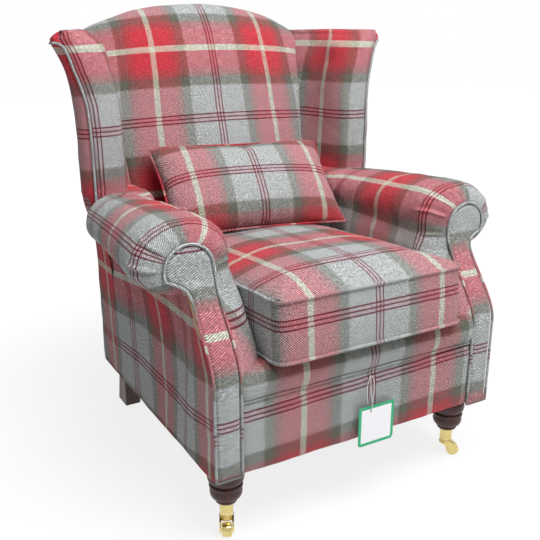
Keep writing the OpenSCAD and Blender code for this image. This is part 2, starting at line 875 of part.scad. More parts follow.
module outside_arm(left) {
    span = 500;
    low = [for (l = [0, 0.3, 0.52, 0.66, 0.78, 0.9]) mix(base_z, under_z, l)];
    rim = low[len(low) - 1];
    high = [0.25, 0.5, 0.75, 1];
    from_y = roll_end + 2;
    rear_y = side_rear - 4 * EPS;
    front = [
        for (run = [0.4, 5, 13, 27, 60, 100, 150, 210, 280, 360, 430, span])
            let (share = pow(run / span, 2), behind = facing_depth + run)
            let (top_y = mix(facing_y(under_z) + behind, from_y, share))
            let (top = under_roll(side_x(top_y) - tuck(top_y, under_z)) + 4 * (1 - gather(run)))
            [
                for (z = concat(low, [for (l = high) mix(rim, top, l)]))
                    let (y = mix(facing_y(z) + behind, from_y, share), x = side_x(y) - tuck(y, z))
                    [[x - cover_t, y, z], [x, y, z]]
            ]
    ];
    foot = [for (k = [2:len(wing_plan(wing_foot_z)) - 1]) wing_plan(wing_foot_z)[k][1]];
    rear = [
        for (p = foot)
            let (share = (p[1] - foot[0][1]) / (foot[len(foot) - 1][1] - foot[0][1]))
            let (flat_y = mix(from_y + 2, rear_y, share))
            [
                for (z = concat(low, [for (l = high) mix(rim, wing_foot_z, l)]))
                    let (flare = smooth((z - rim) / (wing_foot_z - rim)))
                    let (x = mix(side_x(flat_y) - tuck(flat_y, z), p[0], flare))
                    let (y = flat_y + share * max(0, z - knee_z) * tan(back_lean))
                    [[x - cover_t, y, z], [x, y, z]]
            ]
    ];
    color(plaid)
        on_side(left)
            pair_loft(concat(front, rear));
}

// Slab of the facing between two depths behind its curved front
module facing_slab(from, to, inset) {
    steps = 30;
    heights = [for (i = [0:steps]) mix(base_z - 10, scroll_z + scroll_r + 10, i / steps)];
    front = [for (z = heights) [facing_y(z) + from, z]];
    rear = [for (i = [steps:-1:0]) [facing_y(heights[i]) + to, heights[i]]];
    intersection() {
        rotate([90, 0, 0])
            linear_extrude(body_front + 20)
                polygon(facing_outline(inset));
        rotate([90, 0, 90])
            linear_extrude(seam_out + scroll_r + 20)
                polygon(concat(front, rear));
    }
}

module facing_board(left) {
    color(beech)
        on_side(left)
            facing_slab(facing_pad_t + EPS, facing_pad_t + facing_board_t + EPS, 2);
}

module facing(left) {
    color(plaid)
        on_side(left)
            facing_slab(0, facing_pad_t, 0);
}

module facing_piping(left) {
    outline = facing_outline(1);
    long = [
        for (k = [0:len(outline) - 1])
            let (a = outline[k], b = outline[(k + 1) % len(outline)], n = max(1, round(norm(b - a) / 45)))
            for (i = [0:n - 1]) mix(a, b, i / n)
    ];
    color(cord_red)
        on_side(left)
            tube([for (p = long) [p[0], facing_y(p[1]) + 3, p[1]]], piping_r, [0, 1, 0.01], 8, true);
}

// ---- Front and underside -------------------------------------------------------------------------

module apron() {
    back = front_post_y - EPS;
    outline = [
        [back, base_z],
        [-body_front + 9, base_z],
        [-body_front + 4, base_z + 14],
        [-body_front + 2, base_z + 75],
        [-body_front + 5, apron_seam_z - 10],
        [-body_front + 10, apron_seam_z],
        [back, apron_seam_z]
    ];
    color(plaid)
        translate([-seam_in + EPS, 0, 0])
            rotate([90, 0, 90])
                linear_extrude(2 * (seam_in - EPS))
                    polygon(outline);
}

module apron_piping() {
    half = seam_in - 4;
    color(cord_red)
        tube([for (i = [0:8]) [mix(-half, half, i / 8), -body_front + 8, apron_seam_z]], piping_r, [0, 0, 1]);
}

// Black cloth stretched under the seat rails, cut round the legs
module dust_cover() {
    color(black_cloth)
        translate([0, 0, rail_low - 1.2 - EPS])
            difference() {
                translate([-side_rail_x - 20, front_post_y + 8, 0])
                    cube([2 * side_rail_x + 40, upright_y + 30 - front_post_y - 8, 1.2]);
                both()
                    translate([leg_x, -leg_y, -1])
                        cylinder(r = collar_r + 3, h = 4);
                both()
                    translate([post_in - 2, upright_y - 12, -1])
                        cube([80, 80, 4]);
            }
}

// ---- Loose cushions ------------------------------------------------------------------------------

// Outline of the seat cushion in its own plane, with its front edge at y = 0: a superellipse
function power(v, p) = sign(v) * pow(abs(v), p);
function cushion_outline(inset) =
    let (half = cushion_w / 2 - inset, deep = cushion_d / 2 - inset, sides = 32)
    [
        for (i = [0:sides - 1])
            let (a = 360 * (i + 0.5) / sides)
            [half * power(cos(a), 0.2), cushion_d / 2 + deep * power(sin(a), 0.2)]
    ];

// Share of the crown's rise at a distance in from the border
crown_insets = [12, 42, 90, 150, 200];
function crown_share(inset) = lookup(inset, [[12, 0.22], [42, 0.55], [90, 0.84], [150, 0.98], [200, 1]]);

// Layers of the boxed cushion: inset and height
function cushion_rings(inset) =
    let (h = cushion_h, c = cushion_crown)
    let (border = [[40, 0], [9, 1.5], [4, 5], [0.5, 0.3 * h], [0.5, 0.7 * h], [4, h - 4]])
    let (layers = concat(border, [for (i = crown_insets) [i, h + crown_share(i) * c]]))
    [
        for (l = layers)
            let (z = clamp_inset(l[1], inset, h + c))
            [for (p = cushion_outline(l[0] + inset)) [p[0], p[1], z]]
    ];
function clamp_inset(z, inset, top) = inset + z * (top - 2 * inset) / top;

// Sewn cover, open at the zip across its rear border, and the filling inside it
cover_wall = 2;
zip_len = 380;
zip_h = 8;
module zip_slot() {
    translate([-zip_len / 2, cushion_d - 12, cushion_h / 2 - zip_h / 2])
        cube([zip_len, 30, zip_h]);
}

module seat_cushion_cover() {
    color(plaid)
        on_seat()
            difference() {
                loft(cushion_rings(0));
                loft(cushion_rings(cover_wall));
                zip_slot();
            }
}

module seat_cushion_zip() {
    color(black_cloth)
        on_seat()
            translate([-zip_len / 2 + EPS, cushion_d - cover_wall, cushion_h / 2 - zip_h / 2 + EPS])
                cube([zip_len - 2 * EPS, cover_wall - 0.6, zip_h - 2 * EPS]);
}

module seat_cushion_filling() {
    color(wadding)
        on_seat()
            loft(cushion_rings(cover_wall + EPS));
}

module seat_cushion_piping() {
    color(cord_red)
        on_seat()
            for (z = [piping_r + 0.5, cushion_h - 2]) {
                path = [for (p = cushion_outline(piping_r + 0.5)) [p[0], p[1], z]];
                tube(path, piping_r, [0, 0, 1], 8, true);
            }
}

// Pillow: two faces that meet at a seam, drawn in between the corners. u runs across, v up.
lumbar_seam = 2;
lumbar_y = 20;
lumbar_rest_y = lumbar_y + 28;
function pillow_x(u, v) = u * (lumbar_w / 2) * (1 - 0.05 * (1 - v * v) * u * u);
function pillow_z(u, v) = v * (lumbar_h / 2) * (1 - 0.07 * (1 - u * u) * v * v);
function pillow_bulge(u, v) =
    lumbar_seam + (lumbar_t / 2 - lumbar_seam) * pow(max(0, (1 - u * u * u * u) * (1 - v * v)), 0.5);
lumbar_low = norm([lumbar_h * cos(lumbar_lean), lumbar_t * sin(lumbar_lean)]) / 2;
function cushion_top(y) =
    let (inset = cushion_front + cushion_d - y)
    seat_plane(y) + (cushion_h + crown_share(inset) * cushion_crown) / cos(seat_slope);
lumbar_shallow = 3.2;
module on_lumbar() {
    rise = cushion_top(lumbar_rest_y) + lumbar_low - lumbar_shallow;
    translate([0, lumbar_y + lumbar_h / 2 * sin(lumbar_lean), rise])
        rotate([-lumbar_lean, 0, 0])
            children();
}

lumbar_grid = [-1, -0.93, -0.8, -0.6, -0.3, 0, 0.3, 0.6, 0.8, 0.93, 1];
module lumbar_cushion() {
    color(plaid)
        on_lumbar()
            pair_loft([
                for (u = lumbar_grid)
                    [
                        for (v = lumbar_grid)
                            let (x = pillow_x(u, v), z = pillow_z(u, v), b = pillow_bulge(u, v))
                            [[x, -b, z], [x, b, z]]
                    ]
            ]);
}

module lumbar_piping() {
    side = [-0.97, -0.8, -0.4, 0, 0.4, 0.8, 0.97];
    loop = concat(
        [for (u = side) [u, -1]],
        [for (v = side) [1, v]],
        [for (u = side) [-u, 1]],
        [for (v = side) [-1, -v]]);
    path = [for (p = loop) [pillow_x(p[0], p[1]), 0, pillow_z(p[0], p[1])]];
    color(cord_red)
        on_lumbar()
            tube(path, piping_r, [0, 1, 0], 8, true);
}

// ---- Legs and castors ----------------------------------------------------------------------------

leg_top = base_z + rail_lift - EPS;
spigot_low = cup_z + 5;
function cup_wall_r(z) = mix(cup_low_r, cup_r, (z - cup_z) / (cup_top - cup_z)) - 1.5;

// Turned leg: collar, drum with a rounded lower edge, ring, and the spigot in the castor's cup
module front_leg(left) {
    collar_z = base_z - 40;
    drum_top = base_z - 56;
    drum_z = base_z - 63;
    ring_z = cup_top + 6;
    drum_low = ring_z + 6;
    shoulder_r = ring_r + 1.5;
    collar = [for (i = [0:8]) [collar_r - 5 + 5 * sin(22.5 * i), collar_z + 12 - 3 * i]];
    drum = [
        for (i = [0:6])
            [shoulder_r + (bulb_r - shoulder_r) * cos(15 * i), drum_z - (drum_z - drum_low) * sin(15 * i)]
    ];
    ring = [for (i = [0:6]) [ring_r - 3 + 3 * cos(60 - 25 * i), ring_z + 4 * sin(60 - 25 * i)]];
    outline = concat(
        [[0, leg_top], [collar_r - 4.5, leg_top], [collar_r - 4, base_z - 14]],
        collar,
        [[bulb_r - 0.5, drum_top]],
        drum,
        ring,
        [[cup_wall_r(cup_top) - EPS, cup_top + EPS], [cup_wall_r(spigot_low) - EPS, spigot_low + EPS]],
        [[0, spigot_low + EPS]]);
    color(mahogany)
        on_side(left)
            difference() {
                translate([leg_x, -leg_y, 0])
                    rotate_extrude()
                        polygon(outline);
                bolt_hole();
            }
}

module leg_bolts() {
    color(steel)
        both()
            translate([leg_x, -leg_y, base_z - 45])
                cylinder(r = bolt_r, h = 112);
}

// Brass cup with its swivel pin riveted through the floor; the lower rivet head holds the horn
horn_plate = 5;
horn_low = cup_z - EPS - 9;
module castor_cup(left) {
    color(brass)
        on_side(left)
            translate([leg_x, -leg_y, 0])
                rotate_extrude()
                    polygon([
                        [0, horn_low - EPS - 2.5],
                        [pin_r + 1.5, horn_low - EPS - 2.5],
                        [pin_r + 1.5, horn_low - EPS],
                        [pin_r, horn_low - EPS],
                        [pin_r, cup_z],
                        [cup_low_r, cup_z],
                        [cup_r, cup_top],
                        [cup_wall_r(cup_top), cup_top],
                        [cup_wall_r(spigot_low), spigot_low],
                        [0, spigot_low]
                    ]);
}

// Local frame of a castor: origin on the floor under the swivel pin, wheel trailing along +X
module castor_frame(left) {
    translate([left ? -leg_x : leg_x, -leg_y, 0])
        rotate([0, 0, left ? trail_left : trail_right])
            children();
}

arm_gap = wheel_w / 2 + 1;
horn_half = arm_gap + 4;
module castor_horn(left) {
    shoulder = horn_low + horn_plate;
    ear = wheel_r - 8;
    cheek = [
        [-9, horn_low],
        [-9, shoulder],
        [trail - 8, shoulder],
        [trail, shoulder - 4],
        [trail + ear - 1, wheel_r + 9],
        [trail + ear, wheel_r],
        [trail - ear, wheel_r],
        [trail - ear - 3, wheel_r + 9]
    ];
    color(brass)
        castor_frame(left)
            difference() {
                union() {
                    translate([0, 0, horn_low])
                        cylinder(r = horn_half, h = horn_plate);
                    translate([0, 0, horn_low])
                        cylinder(r = cup_low_r, h = cup_z - EPS - horn_low);
                    for (y = [-horn_half, arm_gap])
                        translate([0, y + horn_half - arm_gap, 0])
                            rotate([90, 0, 0])
                                linear_extrude(horn_half - arm_gap) {
                                    polygon(cheek);
                                    translate([trail, wheel_r])
                                        circle(r = ear);
                                }
                }
                translate([0, 0, horn_low - 1])
                    cylinder(r = pin_r + RUN, h = 20);
                translate([trail, horn_half + 1, wheel_r])
                    rotate([90, 0, 0])
                        cylinder(r = axle_r + RUN, h = 2 * horn_half + 2);
            }
}

module castor_axle(left) {
    color(brass)
        castor_frame(left)
            translate([trail, horn_half, wheel_r])
                rotate([90, 0, 0])
                    cylinder(r = axle_r, h = 2 * horn_half);
}

module castor_wheel(left) {
    edge = 2;
    half = wheel_w / 2;
    color(brass)
        castor_frame(left)
            translate([trail, 0, wheel_r])
                rotate([90, 0, 0])
                    rotate_extrude()
                        polygon([
                            [axle_r + RUN, -half],
                            [wheel_r - edge, -half],
                            [wheel_r - 0.3, -half + edge],
                            [wheel_r, 0],
                            [wheel_r - 0.3, half - edge],
                            [wheel_r - edge, half],
                            [axle_r + RUN, half]
                        ]);
}

// ---- Swing tag -----------------------------------------------------------------------------------

pin_z = apron_seam_z - 3;
tag_gap = 12;
tag_y = -body_front - tag_gap;
tag_top = 244;
tag_x = 20;
tag_hole = [5, 232];
module swing_tag() {
    r = 8;
    left = tag_x - tag_w / 2;
    color("white")
        translate([0, tag_y + tag_t, 0])
            rotate([90, 0, 0])
                linear_extrude(tag_t)
                    difference() {
                        union() {
                            translate([left, tag_top - tag_h + r])
                                square([tag_w, tag_h - r]);
                            translate([left + r, tag_top - tag_h])
                                square([tag_w - 2 * r, r]);
                            for (x = [left + r, left + tag_w - r])
                                translate([x, tag_top - tag_h + r])
                                    circle(r = r);
                        }
                        translate(tag_hole)
                            circle(r = 2.5);
                    }
}

// Route of the string: from the pin down through the hole, back up in a loop, and to its free end
string_r = 0.7;
string_route = [
    [0, -424, 316], [0, -425.4, 315.4], [0.4, -426.4, 311], [1, -427, 300], [2, -428, 282], [3, -429.4, 264],
    [4, -430.2, 248], [5, -429, 236], [5, -426.6, 232], [6, -424.8, 236], [9, -424, 246], [12, -423.6, 262],
    [14, -423.4, 278], [13, -423.6, 292], [10, -424, 303], [6, -425, 310], [2, -427.4, 313], [-3, -428, 310],
    [-6, -428, 302], [-8, -428, 290], [-8, -428.4, 276], [-7, -429, 262], [-6, -429.6, 250]
];
module tag_string() {
    color("white")
        tube(string_route, string_r, [0, 1, 0.2]);
}

module tag_pin() {
    color(brass)
        translate([0, -body_front + 14, pin_z])
            rotate([90, 0, 0])
                cylinder(r = 1, h = 22.6);
}

// ---- Nodes ---------------------------------------------------------------------------------------

rear_post(true);  // rear_post_left
rear_post(false);  // rear_post_right
front_post(true);  // front_post_left
front_post(false);  // front_post_right
seat_rail_front();
seat_rail_back();
seat_rail_side(true);  // seat_rail_left
seat_rail_side(false);  // seat_rail_right
corner_blocks();
arm_rail(true);  // arm_rail_left
arm_rail(false);  // arm_rail_right
tack_rails();
lower_back_rail();
crest_rail();
wing_frame(true);  // wing_frame_left
wing_frame(false);  // wing_frame_right
seat_springs();
seat_hessian();
seat_deck();
front_lip();
back_webbing();
inside_back();
outside_back();
wing(true);  // wing_left
wing(false);  // wing_right
wing_piping(true);  // wing_piping_left
wing_piping(false);  // wing_piping_right
arm(true);  // arm_left
arm(false);  // arm_right
outside_arm(true);  // outside_arm_left
outside_arm(false);  // outside_arm_right
facing_board(true);  // facing_board_left
facing_board(false);  // facing_board_right
facing(true);  // facing_left
facing(false);  // facing_right
facing_piping(true);  // facing_piping_left
facing_piping(false);  // facing_piping_right
apron();
apron_piping();
dust_cover();
seat_cushion_cover();
seat_cushion_filling();
seat_cushion_piping();
seat_cushion_zip();
lumbar_cushion();
lumbar_piping();
front_leg(true);  // front_leg_left
front_leg(false);  // front_leg_right
leg_bolts();
castor_cup(true);  // castor_cup_left
castor_cup(false);  // castor_cup_right
castor_horn(true);  // castor_horn_left
castor_horn(false);  // castor_horn_right
castor_axle(true);  // castor_axle_left
castor_axle(false);  // castor_axle_right
castor_wheel(true);  // castor_wheel_left
castor_wheel(false);  // castor_wheel_right
swing_tag();
tag_string();
tag_pin();
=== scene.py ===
"""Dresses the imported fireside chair: turned legs, castors, padding, covers, piping, cushions and tag."""

import math
from functools import partial

import bmesh
import bpy
import numpy as np
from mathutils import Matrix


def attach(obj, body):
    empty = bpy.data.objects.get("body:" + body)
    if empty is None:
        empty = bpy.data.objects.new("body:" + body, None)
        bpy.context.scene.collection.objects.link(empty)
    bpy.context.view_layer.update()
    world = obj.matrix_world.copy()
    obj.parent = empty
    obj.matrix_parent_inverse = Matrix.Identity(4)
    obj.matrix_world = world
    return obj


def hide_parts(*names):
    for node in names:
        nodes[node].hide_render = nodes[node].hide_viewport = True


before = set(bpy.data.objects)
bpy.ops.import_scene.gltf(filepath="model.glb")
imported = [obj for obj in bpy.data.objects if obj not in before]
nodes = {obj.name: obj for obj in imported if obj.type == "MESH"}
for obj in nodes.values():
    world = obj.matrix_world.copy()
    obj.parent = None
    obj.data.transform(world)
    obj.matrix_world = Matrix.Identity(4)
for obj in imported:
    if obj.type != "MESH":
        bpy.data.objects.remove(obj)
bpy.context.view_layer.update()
scene = bpy.context.scene
scene.view_settings.view_transform = "Standard"

# ---- Camera -------------------------------------------------------------------------------------------
# A camera on a stand, a little above the arms and off the chair's left side as it is seen. It looks down
# by the pitch and to the right by the heading, in degrees.

PITCH, HEADING = 17.92, 29.875
camera = bpy.data.objects.new("camera", bpy.data.cameras.new("camera"))
scene.collection.objects.link(camera)
camera.data.sensor_width = 36
camera.data.lens = 50
camera.location = (-0.879, -1.540, 0.997)
camera.rotation_euler = (math.radians(90 - PITCH), 0, math.radians(-HEADING))
scene.camera = camera

# ---- String of the swing tag --------------------------------------------------------------------------
# A white twisted thread. It is looped round a pin at the apron's seam, runs down through the hole in the
# card, back up in a loose loop, and ends bare in front of the card.

MM = 0.001
STRING_WIDE = 1.4 * MM


def pairs(u, v):
    """Pairs (u, v) over a grid: points of an outline, or places on the cloth in metres."""
    return np.stack(np.broadcast_arrays(u, v), -1)


def arc_length(points):
    """Distance along a row of points, from 0 at its first."""
    return np.concatenate([[0], np.cumsum(np.linalg.norm(np.diff(points, axis=0), axis=-1))])


def smooth_along(rows, count):
    """Cubic Hermite curve through the rows A[k], with tangents m = weighted mean of the slopes on both
    sides, read at count even steps of the rows' mean distance."""
    rows = np.asarray(rows, float)
    step = np.linalg.norm(np.diff(rows, axis=0), axis=-1).reshape(len(rows) - 1, -1).mean(1)
    at = np.concatenate([[0], np.cumsum(step)])
    column = (-1,) + (1,) * (rows.ndim - 1)
    h = step.reshape(column)
    slope = np.diff(rows, axis=0) / h
    tangent = np.empty_like(rows)
    tangent[0], tangent[-1] = slope[0], slope[-1]
    tangent[1:-1] = (slope[:-1] * h[1:] + slope[1:] * h[:-1]) / (h[1:] + h[:-1])
    s = np.linspace(0, 1, count) * at[-1]
    i = np.clip(np.searchsorted(at, s, "right") - 1, 0, len(step) - 1)
    f = ((s - at[i]) / step[i]).reshape(column)
    through = rows[i] * (1 + 2 * f) * (1 - f) ** 2 + rows[i + 1] * f**2 * (3 - 2 * f)
    return through + h[i] * (tangent[i] * f * (1 - f) ** 2 + tangent[i + 1] * f**2 * (f - 1))


def tube_grid(path, radius, sides=12, loop=False):
    """Tube: P = path + r cos(a) side + r sin(a) rise, where side and rise are carried along the path by
    least turning. The second value is the cord's own UV, (length along it, arc round it), in metres."""
    path = np.asarray(path, float)
    ahead = np.roll(path, -1, 0) - np.roll(path, 1, 0)
    if not loop:
        ahead[0], ahead[-1] = path[1] - path[0], path[-1] - path[-2]
    ahead /= np.linalg.norm(ahead, axis=1, keepdims=True)
    side = np.empty_like(path)
    first = np.cross(ahead[0], (0, 0, 1) if abs(ahead[0][2]) < 0.9 else (0, 1, 0))
    side[0] = first / np.linalg.norm(first)
    for k in range(1, len(path)):
        across = side[k - 1] - ahead[k] * (side[k - 1] @ ahead[k])
        side[k] = across / np.linalg.norm(across)
    rise = np.cross(side, ahead)
    angle = np.linspace(0, 2 * np.pi, sides, endpoint=False)[None, :, None]
    grid = path[:, None] + radius * (np.cos(angle) * side[:, None] + np.sin(angle) * rise[:, None])
    run = arc_length(path)
    if loop:
        grid = np.concatenate([grid, grid[:1]])
        run = np.append(run, run[-1] + np.linalg.norm(path[0] - path[-1]))
    return grid, pairs(run[:, None], np.linspace(0, 2 * np.pi, sides + 1)[None, :] * radius)


def piece_from(name, panels, material, body, inside=None, sharp=50, merge=1e-5):
    """One object from grids. A panel is (P, UV, wrap): faces join P[i, j] to its next row and column, and
    wrap closes the columns. Equal points are merged, and normals point away from the inside point."""
    points, corners, cloth = [], [], []
    base = 0
    for grid, uv, wrap in panels:
        m, n = grid.shape[:2]
        i, j = np.meshgrid(np.arange(m - 1), np.arange(n if wrap else n - 1), indexing="ij")
        i, j = i.ravel(), j.ravel()
        k = (j + 1) % n
        w = uv.shape[1]
        corners.append(np.stack([i * n + j, (i + 1) * n + j, (i + 1) * n + k, i * n + k], 1) + base)
        on_cloth = np.stack([i * w + j, (i + 1) * w + j, (i + 1) * w + j + 1, i * w + j + 1], 1)
        cloth.append(uv.reshape(-1, 2)[on_cloth])
        points.append(grid.reshape(-1, 3))
        base += m * n
    points, corners = np.concatenate(points), np.concatenate(corners)
    mesh = bpy.data.meshes.new(name)
    mesh.vertices.add(len(points))
    mesh.vertices.foreach_set("co", points.astype(np.float32).ravel())
    mesh.loops.add(corners.size)
    mesh.loops.foreach_set("vertex_index", corners.astype(np.int32).ravel())
    mesh.polygons.add(len(corners))
    mesh.polygons.foreach_set("loop_start", np.arange(len(corners), dtype=np.int32) * 4)
    mesh.update(calc_edges=True)
    layer = mesh.uv_layers.new(name="cloth")
    layer.data.foreach_set("uv", np.concatenate(cloth).astype(np.float32).ravel())
    edit = bmesh.new()
    edit.from_mesh(mesh)
    bmesh.ops.remove_doubles(edit, verts=edit.verts, dist=merge)
    bmesh.ops.dissolve_degenerate(edit, edges=edit.edges, dist=1e-6)
    bmesh.ops.recalc_face_normals(edit, faces=edit.faces)
    edit.to_mesh(mesh)
    edit.free()
    size = len(mesh.polygons)
    if inside is not None:
        normal, middle, area = np.empty(size * 3), np.empty(size * 3), np.empty(size)
        mesh.polygons.foreach_get("normal", normal)
        mesh.polygons.foreach_get("center", middle)
        mesh.polygons.foreach_get("area", area)
        away = middle.reshape(-1, 3) - np.asarray(inside, float)
        if ((normal.reshape(-1, 3) * away).sum(1) * area).sum() < 0:
            mesh.flip_normals()
    mesh.polygons.foreach_set("use_smooth", np.ones(size, bool))
    mesh.set_sharp_from_angle(angle=math.radians(sharp))
    mesh.materials.append(material)
    piece = bpy.data.objects.new(name, mesh)
    scene.collection.objects.link(piece)
    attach(piece, body)
    return piece


def wire(tree, kind, inputs=(), **settings):
    """Adds a node, links or sets its inputs by number or name, and gives back its first output."""
    made = tree.nodes.new(kind)
    for key, value in settings.items():
        setattr(made, key, value)
    for key, value in inputs.items() if isinstance(inputs, dict) else enumerate(inputs):
        if isinstance(value, bpy.types.NodeSocket):
            tree.links.new(value, made.inputs[key])
        else:
            made.inputs[key].default_value = value
    return made.outputs[0]


def bands(tree, place, scale, distortion, way="X", **more):
    given = {"Vector": place, "Scale": scale, "Distortion": distortion, **more}
    return wire(tree, "ShaderNodeTexWave", given, bands_direction=way)


def blend_of(tree, share, first, second, kind="RGBA"):
    """Mix: first * (1 - share) + second * share, for colours or plain numbers."""
    a, b, mixed = {"RGBA": (6, 7, 2), "FLOAT": (2, 3, 0)}[kind]
    made = wire(tree, "ShaderNodeMix", {0: share, a: first, b: second}, data_type=kind)
    return made.node.outputs[mixed]


def linear(r, g, b):
    """Colour as it is seen, turned into the amount of light: ((c + 0.055) / 1.055) ** 2.4."""
    return tuple(c / 12.92 if c <= 0.04045 else ((c + 0.055) / 1.055) ** 2.4 for c in (r, g, b)) + (1,)


def finish_of(name, **plain):
    """A material with a Principled BSDF, whose plain numbers are set on its own sockets."""
    material = bpy.data.materials.new(name)
    material.use_nodes = True
    tree = material.node_tree
    shader = tree.nodes["Principled BSDF"]
    for key, value in plain.items():
        shader.inputs[key.replace("_", " ")].default_value = value
    return material, tree, shader


def coloured(tree, shader, share, dark, light):
    """Base colour between two colours as they are seen, by a share that changes over the surface."""
    tree.links.new(blend_of(tree, share, linear(*dark), linear(*light)), shader.inputs["Base Color"])


def bumped(tree, shader, height, depth, strength=1.0):
    bump = wire(tree, "ShaderNodeBump", {"Strength": strength, "Distance": depth, "Height": height})
    tree.links.new(bump, shader.inputs["Normal"])


thread_finish, tree, shader = finish_of("string", Roughness=0.85)
twist = bands(tree, wire(tree, "ShaderNodeUVMap", uv_map="cloth"), 260.0, 0.4, "DIAGONAL")
coloured(tree, shader, twist, (0.80, 0.80, 0.79), (0.96, 0.96, 0.95))
bumped(tree, shader, twist, 0.0002)

string_route = [
    [0, -424, 316], [0, -425.4, 315.4], [0.4, -426.4, 311], [1, -427, 300], [2, -428, 282], [3, -429.4, 264],
    [4, -430.2, 248], [5, -429, 236], [5, -426.6, 232], [6, -424.8, 236], [9, -424, 246], [12, -423.6, 262],
    [14, -423.4, 278], [13, -423.6, 292], [10, -424, 303], [6, -425, 310], [2, -427.4, 313], [-3, -428, 310],
    [-6, -428, 302], [-8, -428, 290], [-8, -428.4, 276], [-7, -429, 262], [-6, -429.6, 250],
]
string_path = smooth_along(np.array(string_route) * MM, 120)
grid, uv = tube_grid(string_path, STRING_WIDE / 2, 8)
string = piece_from("tag_thread", [(grid, uv, True)], thread_finish, "tag")
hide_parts("tag_string")

# ---- Timber frame -------------------------------------------------------------------------------------
# Beech rails, uprights and blocks, sawn and glued, hidden by the covers. Each rear leg and back upright
# is one length of stained and lacquered hardwood, of which only the leg shows.


def number(tree, operation, *inputs):
    return wire(tree, "ShaderNodeMath", inputs, operation=operation)


def noise(tree, place, scale, detail, **more):
    return wire(tree, "ShaderNodeTexNoise", {"Vector": place, "Scale": scale, "Detail": detail, **more})


def own_place(tree):
    """Object coordinates, which are the piece's place in the chair."""
    return wire(tree, "ShaderNodeTexCoord").node.outputs["Object"]


def group_with(name, inputs, outputs):
    """An empty shader node group. inputs and outputs are (name, kind, default) and (name, kind)."""
    group = bpy.data.node_groups.new(name, "ShaderNodeTree")
    for label, kind, default in inputs:
        made = group.interface.new_socket(label, in_out="INPUT", socket_type="NodeSocket" + kind)
        if default is not None:
            made.default_value = default
    for label, kind in outputs:
        group.interface.new_socket(label, in_out="OUTPUT", socket_type="NodeSocket" + kind)
    return group, group.nodes.new("NodeGroupInput").outputs, group.nodes.new("NodeGroupOutput").inputs


def placed(tree, group, **values):
    """A copy of a node group in a material. Gives back its outputs by name."""
    return wire(tree, "ShaderNodeGroup", values, node_tree=group).node.outputs


def wood_group():
    """Grain: noise and wave bands stretched along Z, worked into a colour between dark and light."""
    group, given, out = group_with(
        "wood_grain",
        [("Vector", "Vector", None), ("Dark", "Color", (0, 0, 0, 1)), ("Light", "Color", (1, 1, 1, 1)),
         ("Scale", "Float", 60.0)],
        [("Color", "Color"), ("Height", "Float")],
    )
    along = wire(group, "ShaderNodeMapping", {"Vector": given["Vector"], "Scale": (1, 1, 0.08)})
    rays = noise(group, along, given["Scale"], 6.0)
    rings = bands(group, along, 22.0, 6.0, Detail=3.0)
    share = number(group, "MULTIPLY_ADD", rings, 0.35, number(group, "MULTIPLY", rays, 0.65))
    group.links.new(blend_of(group, share, given["Dark"], given["Light"]), out["Color"])
    group.links.new(share, out["Height"])
    return group


wood_grain = wood_group()


def wood_finish(name, dark, light, scale, rough, coat):
    material, tree, shader = finish_of(name, Coat_Weight=coat, Coat_Roughness=0.22)
    colours = {"Dark": linear(*dark), "Light": linear(*light)}
    grain = placed(tree, wood_grain, Vector=own_place(tree), Scale=scale, **colours)
    tree.links.new(grain["Color"], shader.inputs["Base Color"])
    rougher = number(tree, "MULTIPLY_ADD", grain["Height"], 0.18, rough)
    tree.links.new(rougher, shader.inputs["Roughness"])
    bumped(tree, shader, grain["Height"], 0.0004, 0.5)
    return material


mahogany = wood_finish("mahogany", (0.12, 0.035, 0.025), (0.31, 0.10, 0.07), 70.0, 0.36, 0.15)
beech = wood_finish("beech", (0.66, 0.50, 0.34), (0.85, 0.71, 0.52), 90.0, 0.62, 0.0)


def dress(material, *names):
    """Gives CAD nodes a finish in place of the one they were packed with."""
    for name in names:
        mesh = nodes[name].data
        mesh.materials.clear()
        mesh.materials.append(material)


dress(mahogany, "rear_post_left", "rear_post_right")
dress(
    beech, "front_post_left", "front_post_right", "seat_rail_front", "seat_rail_back", "seat_rail_left",
    "seat_rail_right", "corner_blocks", "arm_rail_left", "arm_rail_right", "tack_rails", "lower_back_rail",
    "crest_rail", "wing_frame_left", "wing_frame_right", "facing_board_left", "facing_board_right",
)

# ---- Springs, hessian, webbing and dust cover ---------------------------------------------------------
# Zigzag wire springs under a hessian sheet and a felt deck, jute straps up the back, and a black
# non-woven cloth stapled under the rails.


def weave_finish(name, dark, light, pitch, depth):
    """Plain weave: the greater of two waves of the pitch, at right angles, times noise. A wave texture's
    scale is 2 pi / pitch / 20."""
    material, tree, shader = finish_of(name, Roughness=0.93, Sheen_Weight=0.1)
    place = own_place(tree)
    one, two = (bands(tree, place, 2 * math.pi / pitch / 20, 0.6, way) for way in "XY")
    fleck = noise(tree, place, 180.0, 4.0)
    share = number(tree, "MULTIPLY", number(tree, "MAXIMUM", one, two), number(tree, "ADD", fleck, 0.35))
    coloured(tree, shader, share, dark, light)
    bumped(tree, shader, share, depth)
    return material


jute = weave_finish("jute", (0.40, 0.31, 0.20), (0.74, 0.62, 0.45), 0.004, 0.0006)
felt = weave_finish("deck_felt", (0.50, 0.48, 0.46), (0.68, 0.66, 0.64), 0.0025, 0.0003)
dust_cloth = weave_finish("dust_cloth", (0.03, 0.03, 0.035), (0.10, 0.10, 0.105), 0.003, 0.0002)
wadding = weave_finish("wadding", (0.84, 0.83, 0.79), (0.96, 0.95, 0.92), 0.006, 0.0008)
zip_tape = weave_finish("zip", (0.20, 0.18, 0.18), (0.40, 0.38, 0.38), 0.002, 0.0003)
dress(jute, "seat_hessian", "back_webbing")
dress(felt, "seat_deck")
dress(dust_cloth, "dust_cover")
dress(wadding, "seat_cushion_filling")
dress(zip_tape, "seat_cushion_zip")


